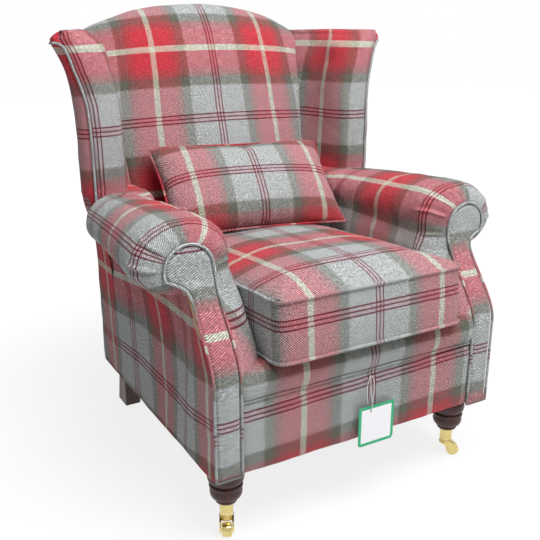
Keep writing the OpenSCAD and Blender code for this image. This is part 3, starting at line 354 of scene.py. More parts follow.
def metal_finish(name, colour, worn, rough, scratch):
    """Metal: colour and roughness drift with slow noise, and fine noise gives polishing marks."""
    material, tree, shader = finish_of(name, Metallic=1.0)
    place = own_place(tree)
    slow, fine = noise(tree, place, 70.0, 3.0), noise(tree, place, 900.0, 2.0)
    coloured(tree, shader, slow, colour, worn)
    tree.links.new(number(tree, "MULTIPLY_ADD", slow, 0.12, rough), shader.inputs["Roughness"])
    bumped(tree, shader, fine, scratch)
    return material


steel = metal_finish("steel", (0.72, 0.73, 0.74), (0.60, 0.61, 0.62), 0.25, 0.00005)
brass = metal_finish("brass", (0.93, 0.87, 0.62), (0.80, 0.71, 0.44), 0.08, 0.00003)
dress(steel, "seat_springs", "leg_bolts", "tag_pin")

# ---- Tartan cloth -------------------------------------------------------------------------------------
# A 2/2 wool twill, woven with the same order of colours in warp and weft: a cream line, red that fades
# into olive, light grey, and three thin maroon lines. Every cover is cut from it.

# Half a repeat across the cloth and along it, and the width of a thread, in metres
HALF_X, HALF_Z, THREAD = 0.168, 0.180, 0.0013
# Each colour as it is seen, and how strongly its yarn covers the one it crosses
GREY, RED, OLIVE = (0.765, 0.785, 0.785, 0.25), (0.86, 0.25, 0.30, 0.24), (0.43, 0.44, 0.39, 0.27)
CREAM, MAROON, PINK = (0.88, 0.88, 0.79, 0.70), (0.38, 0.05, 0.12, 0.85), (0.80, 0.70, 0.72, 0.22)
FADE = (0.60, 0.35, 0.34, 0.29)
# Place of each colour from the middle of the cream line to the middle of the three lines, in metres
SETT = [
    (0.0, CREAM), (0.0070, CREAM), (0.0078, RED), (0.043, RED), (0.067, FADE), (0.0725, OLIVE),
    (0.0880, OLIVE), (0.0935, GREY), (0.1572, GREY), (0.1577, MAROON), (0.1602, MAROON), (0.1607, PINK),
    (0.1664, PINK), (0.1668, MAROON), (0.168, MAROON),
]
# Where a cord's cover is cut: within the grey stripe
GREY_AT = 0.118


def sett_ramp(tree, place, half):
    """Colour at the distance |place| from the nearest cream line, folded back at half a repeat."""
    folded = number(tree, "DIVIDE", number(tree, "PINGPONG", place, half), half)
    ramp = tree.nodes.new("ShaderNodeValToRGB")
    stops = ramp.color_ramp.elements
    stops[0].position, stops[0].color = 0, SETT[0][1]
    stops[1].position, stops[1].color = 1, SETT[-1][1]
    for at, colour in SETT[1:-1]:
        stops.new(at / SETT[-1][0]).color = colour
    tree.links.new(folded, ramp.inputs[0])
    return ramp.outputs[0], ramp.outputs[1]


def humped(tree, share):
    """sin(pi * fract(share)): 0 at the edges of a thread or rib and 1 in its middle."""
    return number(tree, "SINE", number(tree, "MULTIPLY", number(tree, "FRACT", share), math.pi))


def tartan_group():
    """Twill: thread numbers i = floor(u / t) and j = floor(v / t); the warp lies on top where
    (i + j) mod 4 < 2. Yarn a over yarn b shows as (a A + b B) / (a + b), with a and b their cover."""
    group, given, out = group_with(
        "tartan_twill_weave", [("Vector", "Vector", None)], [("Color", "Color"), ("Height", "Float")]
    )
    calc = partial(number, group)
    parts = wire(group, "ShaderNodeSeparateXYZ", [given["Vector"]]).node.outputs
    u, v = parts["X"], parts["Y"]
    (warp, warp_cover), (weft, weft_cover) = sett_ramp(group, u, HALF_X), sett_ramp(group, v, HALF_Z)
    across, along = calc("DIVIDE", u, THREAD), calc("DIVIDE", v, THREAD)
    step = calc("FLOORED_MODULO", calc("ADD", calc("FLOOR", across), calc("FLOOR", along)), 4.0)
    top = calc("LESS_THAN", step, 1.5)
    # The warp's share is 0.70 where it lies on top and 0.26 below, and the weft's 0.30 and 0.74
    above = calc("MULTIPLY", warp_cover, calc("MULTIPLY_ADD", top, 0.44, 0.26))
    below = calc("MULTIPLY", weft_cover, calc("MULTIPLY_ADD", top, -0.44, 0.74))
    colour = blend_of(group, calc("DIVIDE", above, calc("ADD", above, below)), weft, warp)
    hump = blend_of(group, top, humped(group, along), humped(group, across), "FLOAT")
    # The diagonal wanders a little. Painted shade darkens its valleys in noisy flecks, and noise varies the
    # yarn's tone
    slub = noise(group, given["Vector"], 60.0, 2.0)
    fleck = noise(group, given["Vector"], 235.0, 3.0, Roughness=0.75)
    rib = calc("DIVIDE", calc("ADD", u, v), 4 * THREAD)
    rib = calc("MULTIPLY_ADD", fleck, 0.6, calc("MULTIPLY_ADD", slub, 0.9, rib))
    ridge = humped(group, rib)
    valley_shade_noise = calc("SMOOTH_MIN", 1.0, calc("MULTIPLY", fleck, 1.55), 0.2)
    valley = calc("MULTIPLY", calc("SUBTRACT", 1.0, ridge), valley_shade_noise)
    # Painted shade: the twill's valleys darken by up to 0.62, and each thread's edges are 0.06 darker than
    # its middle
    shade = calc("MULTIPLY_ADD", valley, -0.62, calc("MULTIPLY_ADD", hump, 0.06, 0.97))
    shade = calc("MULTIPLY", shade, calc("MULTIPLY_ADD", fleck, 1.85, 0.03))
    shade = calc("MULTIPLY", shade, calc("MULTIPLY_ADD", slub, 0.16, 0.92))
    lit = wire(group, "ShaderNodeVectorMath", {0: colour, "Scale": shade}, operation="SCALE")
    # Colours were worked out as they are seen, and become amounts of light here
    group.links.new(wire(group, "ShaderNodeGamma", {"Color": lit, "Gamma": 2.2}), out["Color"])
    group.links.new(calc("MULTIPLY_ADD", ridge, 0.6, hump), out["Height"])
    return group


tartan_weave = tartan_group()


def cloth_finish(name):
    wool = {"Roughness": 0.95, "Sheen_Weight": 0.12, "Sheen_Roughness": 0.6, "Specular_IOR_Level": 0.2}
    material, tree, shader = finish_of(name, **wool)
    weave = placed(tree, tartan_weave, Vector=wire(tree, "ShaderNodeUVMap", uv_map="cloth"))
    tree.links.new(weave["Color"], shader.inputs["Base Color"])
    bumped(tree, shader, weave["Height"], 0.0002)
    return material


tartan = cloth_finish("tartan_twill")
piping_cloth = cloth_finish("piping")


def cover_from(name, panels, inside, body="frame", merge=1e-5):
    """A cover cut from the tartan. A panel is (P, UV) or (P, UV, wrap)."""
    panels = [panel if len(panel) == 3 else (*panel, False) for panel in panels]
    return piece_from(name, panels, tartan, body, inside, merge=merge)


def cord_from(name, tubes, body="frame"):
    """Piping: a strip of the cloth sewn round a cord. A tube is (P, UV)."""
    return piece_from(name, [(*tube, True) for tube in tubes], piping_cloth, body)


# ---- Inside back and its crest ------------------------------------------------------------------------
# Webbing and foam under one cloth, pulled down to the seat and over the arched crest rail, and sewn to
# the wings along both sides, where it dips.

BODY_FRONT, BODY_REAR, BASE_Z, KNEE_Z, BACK_LEN = 415, 315, 163, 424, 634
LEAN = math.radians(13)
COVER_T, BACK_DEPTH, CREST_IN, CREST_ROLL = 8, 151, 59, 180
# Place of the three maroon lines across the back, and height of its cream line, in metres
TRIPLE_X, CREAM_Z = -0.002, 0.949


def smooth_step(t):
    """3t^2 - 2t^3, held at 0 and 1."""
    t = np.clip(t, 0, 1)
    return t * t * (3 - 2 * t)


def mix(a, b, t):
    return a + (b - a) * t


def back_point(t, s):
    """Y and Z of the point t square to the outside back and s up along it."""
    return (
        BODY_REAR + s * math.sin(LEAN) + t * math.cos(LEAN),
        KNEE_Z + s * math.cos(LEAN) - t * math.sin(LEAN),
    )


def lean_s(z, t):
    """How far up the back the point at height z and t from the outside back lies."""
    return (z - KNEE_Z + t * math.sin(LEAN)) / math.cos(LEAN)


def crest_s(x):
    """Height of the arched crest: length - 58 * (x / 300)^2.2."""
    return BACK_LEN - 58 * np.abs(x / 300) ** 2.2


def stretched_side(s):
    """Half width of the cover, 236 + s / 10, which runs out to the wings' seams and 24 more behind their
    tops, from s = 470 to 580."""
    return 236 + 0.1 * s + 24 * smooth_step((s - 470) / 110)


def back_front(s):
    """Front of the back at s: the full depth from 80 to 250, and less at the seat and the top."""
    return np.interp(s, [-90, 0, 80, 250, 337, 422, 700], [28, 11, 0, 0, 6, 9, 12]) - BACK_DEPTH


def crowned(x):
    """How far the back's front curves in at x from its middle."""
    return 0.00055 * x * x


def ripple(points, size, wave=0.09, seed=0.0):
    """Slow unevenness of stuffed cloth: the size times a sum of three sine products of the place."""
    q = points / wave * 2 * np.pi
    x, y, z = q[..., 0], q[..., 1], q[..., 2]
    return size * (
        np.sin(0.9 * x + 0.6 * z + seed) * np.sin(0.7 * y + 0.5 * z + 1.3 * seed)
        + 0.5 * np.sin(1.7 * z - 1.1 * x + 2.1 * seed) * np.sin(1.3 * y + 0.8 * x + 0.7 + seed)
        + 0.3 * np.sin(2.9 * x + 2.3 * y - 2.6 * z + 3.7 * seed)
    )


def moved(grid, amount, toward=(0, 0, 0)):
    """The grid moved along its unit normals, the cross product of its two directions, which are turned
    towards a direction if one is given."""
    n = np.cross(np.gradient(grid, axis=0), np.gradient(grid, axis=1))
    n /= np.maximum(np.linalg.norm(n, axis=-1, keepdims=True), 1e-12)
    if (n * np.asarray(toward, float)).sum() < 0:
        n = -n
    return grid + n * np.asarray(amount)[..., None]


def arc_along(grid):
    """Distance along each column of a grid, from 0 in its first row."""
    step = np.linalg.norm(np.diff(grid, axis=0), axis=-1)
    return np.concatenate([np.zeros_like(step[:1]), np.cumsum(step, 0)])


def back_profile(share):
    """Control points (t, s) of the section at a share of the half width, from the seat over the crest:
    straight up the front, a quarter oval back to the crest, and a quarter oval down behind it."""
    top, lift = crest_s(share * stretched_side(600)), crowned(share * stretched_side(250))
    drop = CREST_IN - 12
    low = lean_s(391, -BACK_DEPTH + 25)
    front = [(back_front(s) + lift, s) for s in (low, 0, 80, 160, 250, 337)]
    rise = []
    for f in (0.08, 0.4, 0.65, 0.83, 0.94, 0.99):
        s = top - CREST_ROLL * (1 - f)
        face = -CREST_IN + (back_front(s) + CREST_IN) * math.sqrt(1 - f * f)
        rise.append((min(face + lift, -COVER_T - 20), s))
    reach = CREST_IN * 0.62 - lift * 0.5
    over = [
        (-reach + (reach - COVER_T) * math.cos(math.radians(a)), top - drop * (1 - math.sin(math.radians(a))))
        for a in (100, 60, 30, 0)
    ]
    return np.array(front + rise + over + [(-COVER_T - 1, top - drop - 14)])


BACK_MIDDLE = 60
even = np.linspace(-1, 1, 2 * BACK_MIDDLE + 1)
# Closer together towards both sides, where the cover dips
bunched = np.sin(even * np.pi / 2 * 0.985) / math.sin(np.pi / 2 * 0.985)
across = mix(even, bunched, 0.55)
profiles = smooth_along(np.stack([back_profile(u) for u in across], 1), 170)
t, s = profiles[..., 0], profiles[..., 1]
y, z = back_point(t, s)
back_grid = np.stack([across[None, :] * stretched_side(s), y, z], -1) * MM
edge = np.exp(-(((1 - np.abs(across)) * 250 / 6) ** 2))[None, :]
up_share = np.clip((s + 60) / (BACK_LEN + 60), 0, 1)
fullness = 5 * (1 - across[None, :] ** 4) * np.sin(up_share * np.pi) ** 0.5
swell = (fullness - 3 * edge) * MM + ripple(back_grid, 0.0009, 0.16, 1.0)
back_grid = moved(back_grid, swell, (0, -1, 0.4))
height = arc_along(back_grid)
crest_row = int(np.argmax(back_grid[:, BACK_MIDDLE, 2]))
cream_height = np.interp(CREAM_Z, back_grid[:crest_row, BACK_MIDDLE, 2], height[:crest_row, BACK_MIDDLE])
# The cloth is drawn together a little towards the crest
narrowed = 1 + 0.07 * smooth_step((back_grid[..., 2] - 0.70) / 0.30)
uv = pairs((back_grid[..., 0] - TRIPLE_X) * narrowed + HALF_X, height - cream_height)
back = cover_from("back_padding", [(back_grid, uv)], (0, 0.30, 0.7))
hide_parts("inside_back")

# ---- Outside back -------------------------------------------------------------------------------------
# A flat panel of the same cloth over the whole rear of the frame. Its edges are turned in, and it is
# slipstitched under the crest and along both sides.

REAR_HALF = 316
a, b = np.meshgrid(np.linspace(-1, 1, 81), np.linspace(0, 1, 121))
x = a * REAR_HALF
top = back_point(0, crest_s(x) - 34)[1] - BASE_Z
z = BASE_Z + b * top
near = np.minimum.reduce([(1 - np.abs(a)) * REAR_HALF, b * top, (1 - b) * top])
# It turns in by 6 mm within a few millimetres of its edges
y = BODY_REAR + np.maximum(z - KNEE_Z, 0) * math.tan(LEAN) - 6 * np.exp(-near / 5) + 1.2
rear_grid = np.stack([x, y, z], -1) * MM
rear_grid[..., 1] += ripple(rear_grid, 0.0006, 0.2, 2.0)
uv = pairs(x * MM - TRIPLE_X + HALF_X, z * MM - CREAM_Z)
outside = cover_from("back_panel", [(rear_grid, uv)], (0, 0, 0.6))
turned_in = outside.modifiers.new("turned_in", "SOLIDIFY")
turned_in.thickness, turned_in.offset = 0.006, -1
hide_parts("outside_back")

# ---- Wings --------------------------------------------------------------------------------------------
# A board on the arm, padded on its inner side and round its nose. The inner cloth ends at a piped seam
# along the nose's outer edge and over the top, and the outer panel runs from there to the outside back.

SIDES = {"left": -1, "right": 1}
WING_X, WING_FLARE, WING_T, WING_FRONT, WING_CORNER = 402, 48, 98, 128, 318
WING_FOOT, WING_EDGE, WING_TOP, TOP_ROLL = 630, 963, 989, 42
WING_LOW = WING_FOOT - 40
IN_STEPS, OUT_STEPS, CAP_STEPS = 90, 80, 60


def wing_out(z):
    """The outer side flares out, and most of all near its top corner."""
    return WING_X + WING_FLARE * np.clip((z - WING_FOOT - 60) / (WING_TOP - WING_FOOT - 74), 0, 1) ** 4


def wing_nose(z):
    """The nose leans back by 26 mm from a hand's breadth above its foot to the top."""
    return WING_FRONT + 26 * np.clip((z - WING_FOOT - 90) / (WING_TOP - WING_FOOT - 90), 0, 1) ** 2


def wing_plan(z):
    """Outlines of the wing at the heights z, as rows of points: the inner one from the rear to the nose's
    seam, the outer one from there to the rear, and the middles that each is drawn in to over the top."""
    out, nose = wing_out(z), wing_nose(z)
    s = lean_s(z, -COVER_T - 47.6)
    side = stretched_side(s)
    rear = back_point(-COVER_T - 0.3, lean_s(z, -COVER_T))[0]
    # The seam with the back follows the crest's roll
    rolled = np.clip((s - crest_s(side) + CREST_ROLL) / CREST_ROLL, 0, 0.98)
    face_t = -CREST_IN + (back_front(s) + CREST_IN) * np.sqrt(1 - rolled**2)
    seam_y = back_point(np.minimum(face_t + crowned(side) + 6, -COVER_T - 21), s)[0]
    in_x = out - WING_T - 12 * smooth_step((z - 900) / 80)
    # Distance of the piped seam from the outer side
    d = np.interp(z, [700, 830, 905, 945, 965], [20, 19, 12, 15, 16])

    def bend(w):
        """The nose's rounded corner: how far back it lies at w from the outer side."""
        return nose + np.interp(w, [0, 2, 4, 7, 10, 15, 20, 30, 40], [28, 22, 17, 12, 8, 4, 1.5, -1, -1.5])

    def row(points):
        return np.stack([np.stack(np.broadcast_arrays(x, y, z), -1) for x, y in points])

    inner = row([
        (side - 6, seam_y + 8), (mix(in_x, side, 0.5), mix(nose + 30, seam_y, 0.5) + 3), (in_x, nose + 30),
        (out - 84, nose + 9), (out - 62, nose + 1), (out - 38, nose - 1.5), (out - d, bend(d)),
    ])
    # Shares of the way from the flat side to the rear corner, across and back
    to_rear = (0.5, 0.55), (0.74, 0.76), (0.88, 0.9), (1, 1)
    outer = row(
        [(out - d * k, bend(d * k)) for k in (1, 0.6, 0.25)]
        + [(out, nose + 28), (mix(out, WING_CORNER, 0.24), nose + 90)]
        + [(mix(out, WING_CORNER, k), mix(nose, rear, w)) for k, w in to_rear]
    )
    tip = row([(out - 26, nose + 14)])
    mid_inner = np.concatenate([mix(inner[:6], outer[[7, 5, 4, 3, 2, 1]], 0.5), tip])
    mid_outer = np.concatenate([tip, tip, tip, mix(outer[3:], inner[[4, 3, 1, 1, 0, 0]], 0.5)])
    return inner, outer, mid_inner, mid_outer


def mirrored(grid, sign):
    return grid * np.array([sign, 1, 1])


rolled_z = WING_TOP - TOP_ROLL + TOP_ROLL * np.sin(np.linspace(0.05, np.pi / 2, 30))
wing_z = np.concatenate([np.linspace(WING_LOW, WING_TOP - TOP_ROLL, 78), rolled_z])
over_inner = np.clip((wing_z - WING_TOP + TOP_ROLL) / TOP_ROLL, 0, 1)
over_outer = np.clip((wing_z - WING_EDGE) / (WING_TOP - WING_EDGE), 0, 1)
drawn_inner = 0.9 * (1 - np.sqrt(1 - over_inner**2))
drawn_outer = 0.9 * (0.65 * (1 - np.sqrt(1 - over_outer**2)) + 0.35 * over_outer)


def drawn_in(row, middle, with_outer, held):
    """row + (middle - row) * share over the top. The share is the inner cloth's, and the outer panel's by
    with_outer, times held, which is small where the rear ends stay on the back."""
    share = mix(drawn_inner, drawn_outer, np.array(with_outer)[:, None]) * np.array(held)[:, None]
    return mix(row, middle, share[..., None])


inner, outer, mid_inner, mid_outer = wing_plan(wing_z)
# Near the nose's seam the inner cloth folds over with the outer panel
inner = drawn_in(inner, mid_inner, (0, 0, 0, 0, 0.1, 0.4, 1), (0.1, 0.7, 1, 1, 1, 1, 1))
outer = drawn_in(outer, mid_outer, (1,) * 9, (1, 1, 1, 1, 1, 1, 1, 0.6, 0.2))
# Below its foot the outer panel turns in behind the outside arm
outer[..., 0] -= 14 * np.maximum(0, WING_FOOT - wing_z) / (WING_FOOT - WING_LOW)
inner_rows = np.swapaxes(smooth_along(inner, IN_STEPS), 0, 1) * MM
outer_rows = np.swapaxes(smooth_along(outer, OUT_STEPS), 0, 1) * MM


def seam_dip(count, reach):
    """exp(-(share / reach)^2) along a row that starts at a seam."""
    return np.exp(-((np.linspace(0, 1, count) / reach) ** 2))[None, :]


from_rear = np.linspace(0, 1, IN_STEPS)[None, :]
top_seam = np.exp(-(((wing_z - 979) / 3.2) ** 2))[:, None] * (1 - from_rear**8)
dip_in = 0.0045 * seam_dip(IN_STEPS, 0.035)[:, ::-1] + 0.0018 * top_seam
puff_in = 0.004 * np.sin(from_rear * np.pi)
inner_grid = moved(inner_rows, puff_in - dip_in + ripple(inner_rows, 0.0008, 0.11, 3.0), (-1, -1, 0))
dip_out = 0.0045 * seam_dip(OUT_STEPS, 0.03)
outer_grid = moved(outer_rows, -dip_out + ripple(outer_rows, 0.0006, 0.14, 4.0), (1, 0, 0))
cap_in = inner_grid[-1, np.linspace(0, IN_STEPS - 1, CAP_STEPS).astype(int)]
cap_out = outer_grid[-1, np.linspace(OUT_STEPS - 1, 0, CAP_STEPS).astype(int)]
cap_rise = np.array([0, 0, 0.002])
cap = np.stack([cap_in, mix(cap_in, cap_out, 0.5) + cap_rise, cap_out])
# The rear is closed too, because it shows above the crest's ends
shut = mix(outer_grid[:, -1:], inner_grid[:, :1], np.linspace(0, 1, 3)[None, :, None])
shut[-1, 1] += cap_rise
inner_u = arc_along(np.swapaxes(inner_grid, 0, 1)).T
outer_u = arc_length(outer_grid[45])
# Place of the cream lines: from the piping on the inner cloth and on the outer panel, and their height
WING_CLOTH = {"left": (0.181, -0.020, 0.952), "right": (0.150, -0.020, 0.954)}
# The cord follows the nose's seam up to the outer corner, and the top edge from there to the rear
edge_row = int(np.argmin(np.abs(wing_z - WING_EDGE)))
seam_line = np.concatenate([inner_rows[: edge_row - 3 : 3, -1], outer_rows[edge_row, 3::5]])
cord_path = smooth_along(seam_line, 170)
for side_name, sign in SIDES.items():
    cream_in, cream_out, cream_z = WING_CLOTH[side_name]
    v = wing_z[:, None] * MM - cream_z
    covers = [
        (inner_grid, pairs(inner_u[:, -1:] - inner_u - cream_in, v)),
        (outer_grid, pairs(outer_u[None, :] - cream_out, v + 0.004)),
        (cap, pairs(np.linspace(0.09, 0.16, CAP_STEPS)[None, :], np.full((3, 1), 0.075))),
        (shut, pairs(outer_u[-1] - cream_out + 0.015 * np.arange(3)[None, :], v + 0.004)),
    ]
    covers = [(mirrored(grid, sign), uv) for grid, uv in covers]
    wing = cover_from("wing_padding_" + side_name, covers, (sign * 0.33, 0.25, 0.8))
    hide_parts("wing_" + side_name)
    grid, uv = tube_grid(mirrored(cord_path, sign), 2.9 * MM)
    # Its cover is cut along a grey stripe, and strays within it
    uv = pairs(uv[..., 1] + 0.112, 0.125 + 0.028 * np.sin(uv[..., 0] / 0.028))
    pipe = cord_from("wing_cord_" + side_name, [(grid, uv)])
    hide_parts("wing_piping_" + side_name)

# ---- Arms ---------------------------------------------------------------------------------------------
# A padded roll on the arm rail. Its cloth is pulled down the inner side to the seat, over the roll and
# under it, and gathered in small pleats into the seam round the scroll.

SEAM_OUT, FACING_W, SCROLL_R, SCROLL_Z, SCROLL_BACK = 352, 60, 52, 566, 103
SEAM_IN = SEAM_OUT - FACING_W
SCROLL_X = SEAM_IN + SCROLL_R + 2.5
ROLL_X, ROLL_END, ROLL_IN, ARM_IN, ARM_LOW = SEAM_OUT - 2, WING_FRONT + 12, 106, 231.5, 391
# Height of the inner face's foot at the seam, and of its top below the roll
FACE_FOOT, FACE_TOP = 340, 482
# Gap behind the seam, the length over which the roll grows to full size, and the whole arm's length
SEAM_BACK, GATHER, SPAN = 4.5, 46, 455


def facing_y(z):
    """The facing stands upright below and leans back to the scroll above."""
    return -BODY_FRONT + SCROLL_BACK * smooth_step((z - SCROLL_Z + 202) / 195)


def roll_half(y):
    """Half height of the roll, from 85 at the scroll to 66 at the wing."""
    return mix(85, 66, smooth_step((y + 292) / (ROLL_END + 292)))


def roll_mid(y):
    """Height of the roll's middle: its top, which falls from 657 to 630, less its half height."""
    return mix(657, 630, np.clip((y + 230) / (WING_FRONT + 228), 0, 1) ** 1.3) - roll_half(y)


def roll_reach(y):
    """How far the roll stands out, from 101 at the scroll to 64 at the wing."""
    return mix(101, 64, np.clip((y + 270) / (ROLL_END + 270), 0, 1))


def inner_x(z, y):
    """Inner face of the arm: straight and set out a little below the roll, and a squircle above it."""
    power = mix(2.4, 7, smooth_step((y - WING_FRONT + 45) / 50))
    u = np.clip(np.abs((z - roll_mid(y)) / roll_half(y)), 0, 1)
    below = mix(ARM_IN, ROLL_X - ROLL_IN, smooth_step((z - roll_mid(y) + 75) / 60))
    return np.where(z < roll_mid(y), below, ROLL_X - ROLL_IN * (1 - u**power) ** (1 / power))


def gathered(run):
    """Growth from the seam to full size: a quarter of an oval, (1 - (1 - run / gather)^2)^0.62."""
    left = 1 - np.clip(run / GATHER, 0, 1)
    return (1 - left**2) ** 0.62


ARM_RUNS = np.concatenate([GATHER * np.linspace(0, 1, 34) ** 1.7, np.linspace(52, SPAN, 76)])
ROLL_ANGLES = np.concatenate([np.linspace(-71, 60, 66), np.linspace(61.5, 88, 16)])


def arm_rear(z):
    """Y at which the arm's inner face meets the back, at the height z."""
    s = lean_s(z, -BACK_DEPTH)
    return back_point(back_front(s) + crowned(ARM_IN) - 2, s)[0]


def arm_row(run):
    """One section of the arm at the distance run behind the seam: inner face, roll, and under side."""
    share, grow = (run / SPAN) ** 2, gathered(run)
    z = np.linspace(mix(FACE_FOOT, ARM_LOW - 4, smooth_step(run / 110)), FACE_TOP, 20)[:-1]
    y = mix(facing_y(z) + SEAM_BACK + run, arm_rear(z), share)
    low = np.stack([mix(SEAM_IN, inner_x(z, y), grow), y, z], -1)
    a = np.radians(ROLL_ANGLES)
    rise = np.sin(a) * np.where(a < 0, 0.72, 1)
    # At the seam the outer side follows the scroll down to the notch below it
    notch = np.clip(-ROLL_ANGLES / 71, 0, 1)
    bow = np.radians(np.maximum(ROLL_ANGLES, -19 * np.clip(notch * 2, 0, 1)))
    past = np.clip(notch * 2 - 1, 0, 1)
    seam = {
        -1: (SCROLL_X - SCROLL_R * np.cos(a), SCROLL_Z + SCROLL_R * np.sin(a)),
        1: (SCROLL_X + SCROLL_R * np.cos(bow) - 26 * past, SCROLL_Z + SCROLL_R * np.sin(bow) - 12 * past),
    }
    halves = {}
    for toward, rear in ((-1, arm_rear), (1, lambda z: ROLL_END)):
        tight_x, tight_z = seam[toward]
        z = mix(tight_z, roll_mid(-BODY_FRONT) + roll_half(-BODY_FRONT) * rise, grow)
        y = mix(facing_y(np.minimum(z, 618)) + SEAM_BACK + run, rear(z), share)
        z = roll_mid(y) + roll_half(y) * rise
        x = inner_x(z, y) if toward < 0 else ROLL_X + roll_reach(y) * np.cos(a)
        # The outer side is rounded in to the wing behind
        end = np.sqrt(1 - np.clip((y - ROLL_END + 36) / 38, 0, 0.95) ** 2) if toward > 0 else 1
        x = mix(SEAM_OUT, x, end) if toward > 0 else x
        z = mix(roll_mid(y), z, 0.7 + 0.3 * end)
        halves[toward] = np.stack([mix(tight_x, x, grow), y, mix(tight_z, z, grow)], -1)
    inner, outer = halves[-1], halves[1]
    tucked = smooth_step(run / 60)
    under = np.stack([
        np.linspace(outer[0, 0], mix(SEAM_OUT - 2, 300, tucked), 8)[1:],
        np.full(7, outer[0, 1]),
        np.linspace(outer[0, 2], mix(536, 484, tucked), 8)[1:],
    ], -1)
    return np.concatenate([low, inner, outer[::-1], under])


arm_rows = np.array([arm_row(run) for run in ARM_RUNS]) * MM
LOW_COUNT, HALF_COUNT = 19, len(ROLL_ANGLES)
arm_v = arc_length(arm_rows[52])
arm_u = arc_along(arm_rows)
arm_u += (arm_rows[52, :, 1] - arm_u[52])[None]
# Angle round the scroll, for the pleats that run back from its seam: 90 is the top, 180 the inner side
fold_angle = np.concatenate([
    np.linspace(330, 254, LOW_COUNT), 180 - ROLL_ANGLES, ROLL_ANGLES[::-1], np.full(7, -80.0),
])


def arc_at(angle, outer=False):
    """Distance round the section at an angle of the roll's inner or outer half."""
    column = np.interp(angle, ROLL_ANGLES, np.arange(HALF_COUNT))
    if outer:
        column = 2 * HALF_COUNT - 1 - column
    return np.interp(LOW_COUNT + column, np.arange(len(arm_v)), arm_v)


# Pleats on each arm: angle, depth, and how far it runs back, in mm
PLEATS = {
    "left": [(182, 0.7, 44), (94, 0.6, 72), (62, 0.3, 34), (38, 0.8, 56), (4, 1.5, 74)],
    "right": [
        (202, 0.8, 44), (158, 1.3, 66), (132, 0.9, 42), (108, 0.5, 34),
        (84, 0.7, 44), (60, 0.6, 38), (30, 0.5, 40), (0, 0.7, 50),
    ],
}


def pleated(rows, pleats):
    """Each pleat is a narrow valley along a curved line from the seam, with a low ridge beside it."""
    run = ARM_RUNS[:, None]
    depth = np.zeros(rows.shape[:2])
    for at, size, reach in pleats:
        angle = fold_angle[None, :] - at - 7 * (run / reach) ** 2
        along = smooth_step(run / 6) * (1 - smooth_step((run - reach * 0.35) / (reach * 0.75)))
        depth += size * along * (np.exp(-((angle / 2.4) ** 2)) - 0.6 * np.exp(-(((angle + 7) / 5) ** 2)))
    return moved(rows, ripple(rows, 0.0012, 0.10, 5.0) - 0.0036 * depth)


# Place of the cloth on each arm: the cream line that crosses the roll (y), and distances round the section
# with the place of the cloth there, from the cream line along the arm
inner_cream = arc_at(52)
ARM_CLOTH = {
    "left": (-0.112, [(arm_v[17], -HALF_Z), (arc_at(65), 0), (arc_at(28, outer=True), HALF_Z)]),
    "right": (-0.106, [(inner_cream + k * HALF_Z, k * HALF_Z) for k in (-1, 0, 1)]),
}
for side_name, sign in SIDES.items():
    cream_y, marks = ARM_CLOTH[side_name]
    # Past its marks the cloth lies unstretched
    marks = [(marks[0][0] - 0.2, marks[0][1] - 0.2), *marks, (marks[-1][0] + 0.3, marks[-1][1] + 0.3)]
    uv = pairs(arm_u - cream_y, np.interp(arm_v, *zip(*marks)))
    arm_grid = mirrored(pleated(arm_rows, PLEATS[side_name]), sign)
    arm = cover_from("arm_padding_" + side_name, [(arm_grid, uv)], (sign * 0.33, -0.1, 0.56))
    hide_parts("arm_" + side_name)

# ---- Outside arms -------------------------------------------------------------------------------------
# A lined panel from the facing's seam back to the outside back. It is drawn in under the roll, and behind
# the roll's end it runs up to the wing's foot.

SIDE_TURN, SIDE_REAR, SIDE_SPAN = BODY_REAR - 62, BODY_REAR - 8, 514
# Height of the drawn-in top edge, and of the point in the notch below the scroll
TUCK_Z, NOTCH_Z = 482, 539


def side_x(y):
    """The side is flat, and turns in by 32 mm at the rear."""
    return mix(SEAM_OUT, 320, np.clip((y - SIDE_TURN) / (SIDE_REAR - SIDE_TURN), 0, 1) ** 1.5)


def tuck(y, z):
    """How far the panel is drawn in: most near its top edge, and nothing at the facing and at the rear."""
    return (
        38 * np.clip((z - BASE_Z) / (TUCK_Z - BASE_Z), 0, 1) ** 0.8
        * smooth_step((y + BODY_FRONT - 30) / 190) * (1 - smooth_step((y + 20) / 190))
    )


share_z = np.concatenate([np.linspace(0, 0.06, 5)[:-1], np.linspace(0.06, 1, 60)])
front_runs = np.concatenate([26 * np.linspace(0, 1, 16) ** 1.6, np.linspace(32, SIDE_SPAN, 70)])
columns = []
for run in front_runs:
    share = (run / SIDE_SPAN) ** 2
    top_y = mix(facing_y(TUCK_Z) + SEAM_BACK + run, ROLL_END + 2, share)
    top_x = side_x(top_y) - tuck(top_y, TUCK_Z)
    near = 1 - smooth_step(run / 78)
    top = mix(488 + 0.3 * (top_x - COVER_T - 283.7), NOTCH_Z, near)
    z = BASE_Z + share_z * (top - BASE_Z)
    y = mix(facing_y(z) + SEAM_BACK + run, ROLL_END + 2, share)
    # In front the panel is pulled out and up into the notch below the scroll
    pulled = np.interp(z, [496, 508, 514, 522, 532, NOTCH_Z], [0, 0.4, 1, 3, 11, 21]) * near
    columns.append(np.stack([side_x(y) - tuck(y, z) + pulled, y, z], -1))
foot_outer = wing_plan(WING_FOOT)[1][2:, :2]
for foot_x, foot_y in smooth_along(foot_outer, 34):
    share = (foot_y - foot_outer[0, 1]) / (foot_outer[-1, 1] - foot_outer[0, 1])
    flat_y = mix(ROLL_END + 4, SIDE_REAR - 1.2, share)
    z = BASE_Z + share_z * (WING_FOOT - BASE_Z)
    x = mix(side_x(flat_y) - tuck(flat_y, z), foot_x, smooth_step((z - 450) / (WING_FOOT - 450)))
    columns.append(np.stack([x, flat_y + share * np.maximum(0, z - KNEE_Z) * math.tan(LEAN), z], -1))
side_grid = np.array(columns) * MM
side_u = arc_length(side_grid[:, 20])
rim_dip = np.zeros(len(side_grid))
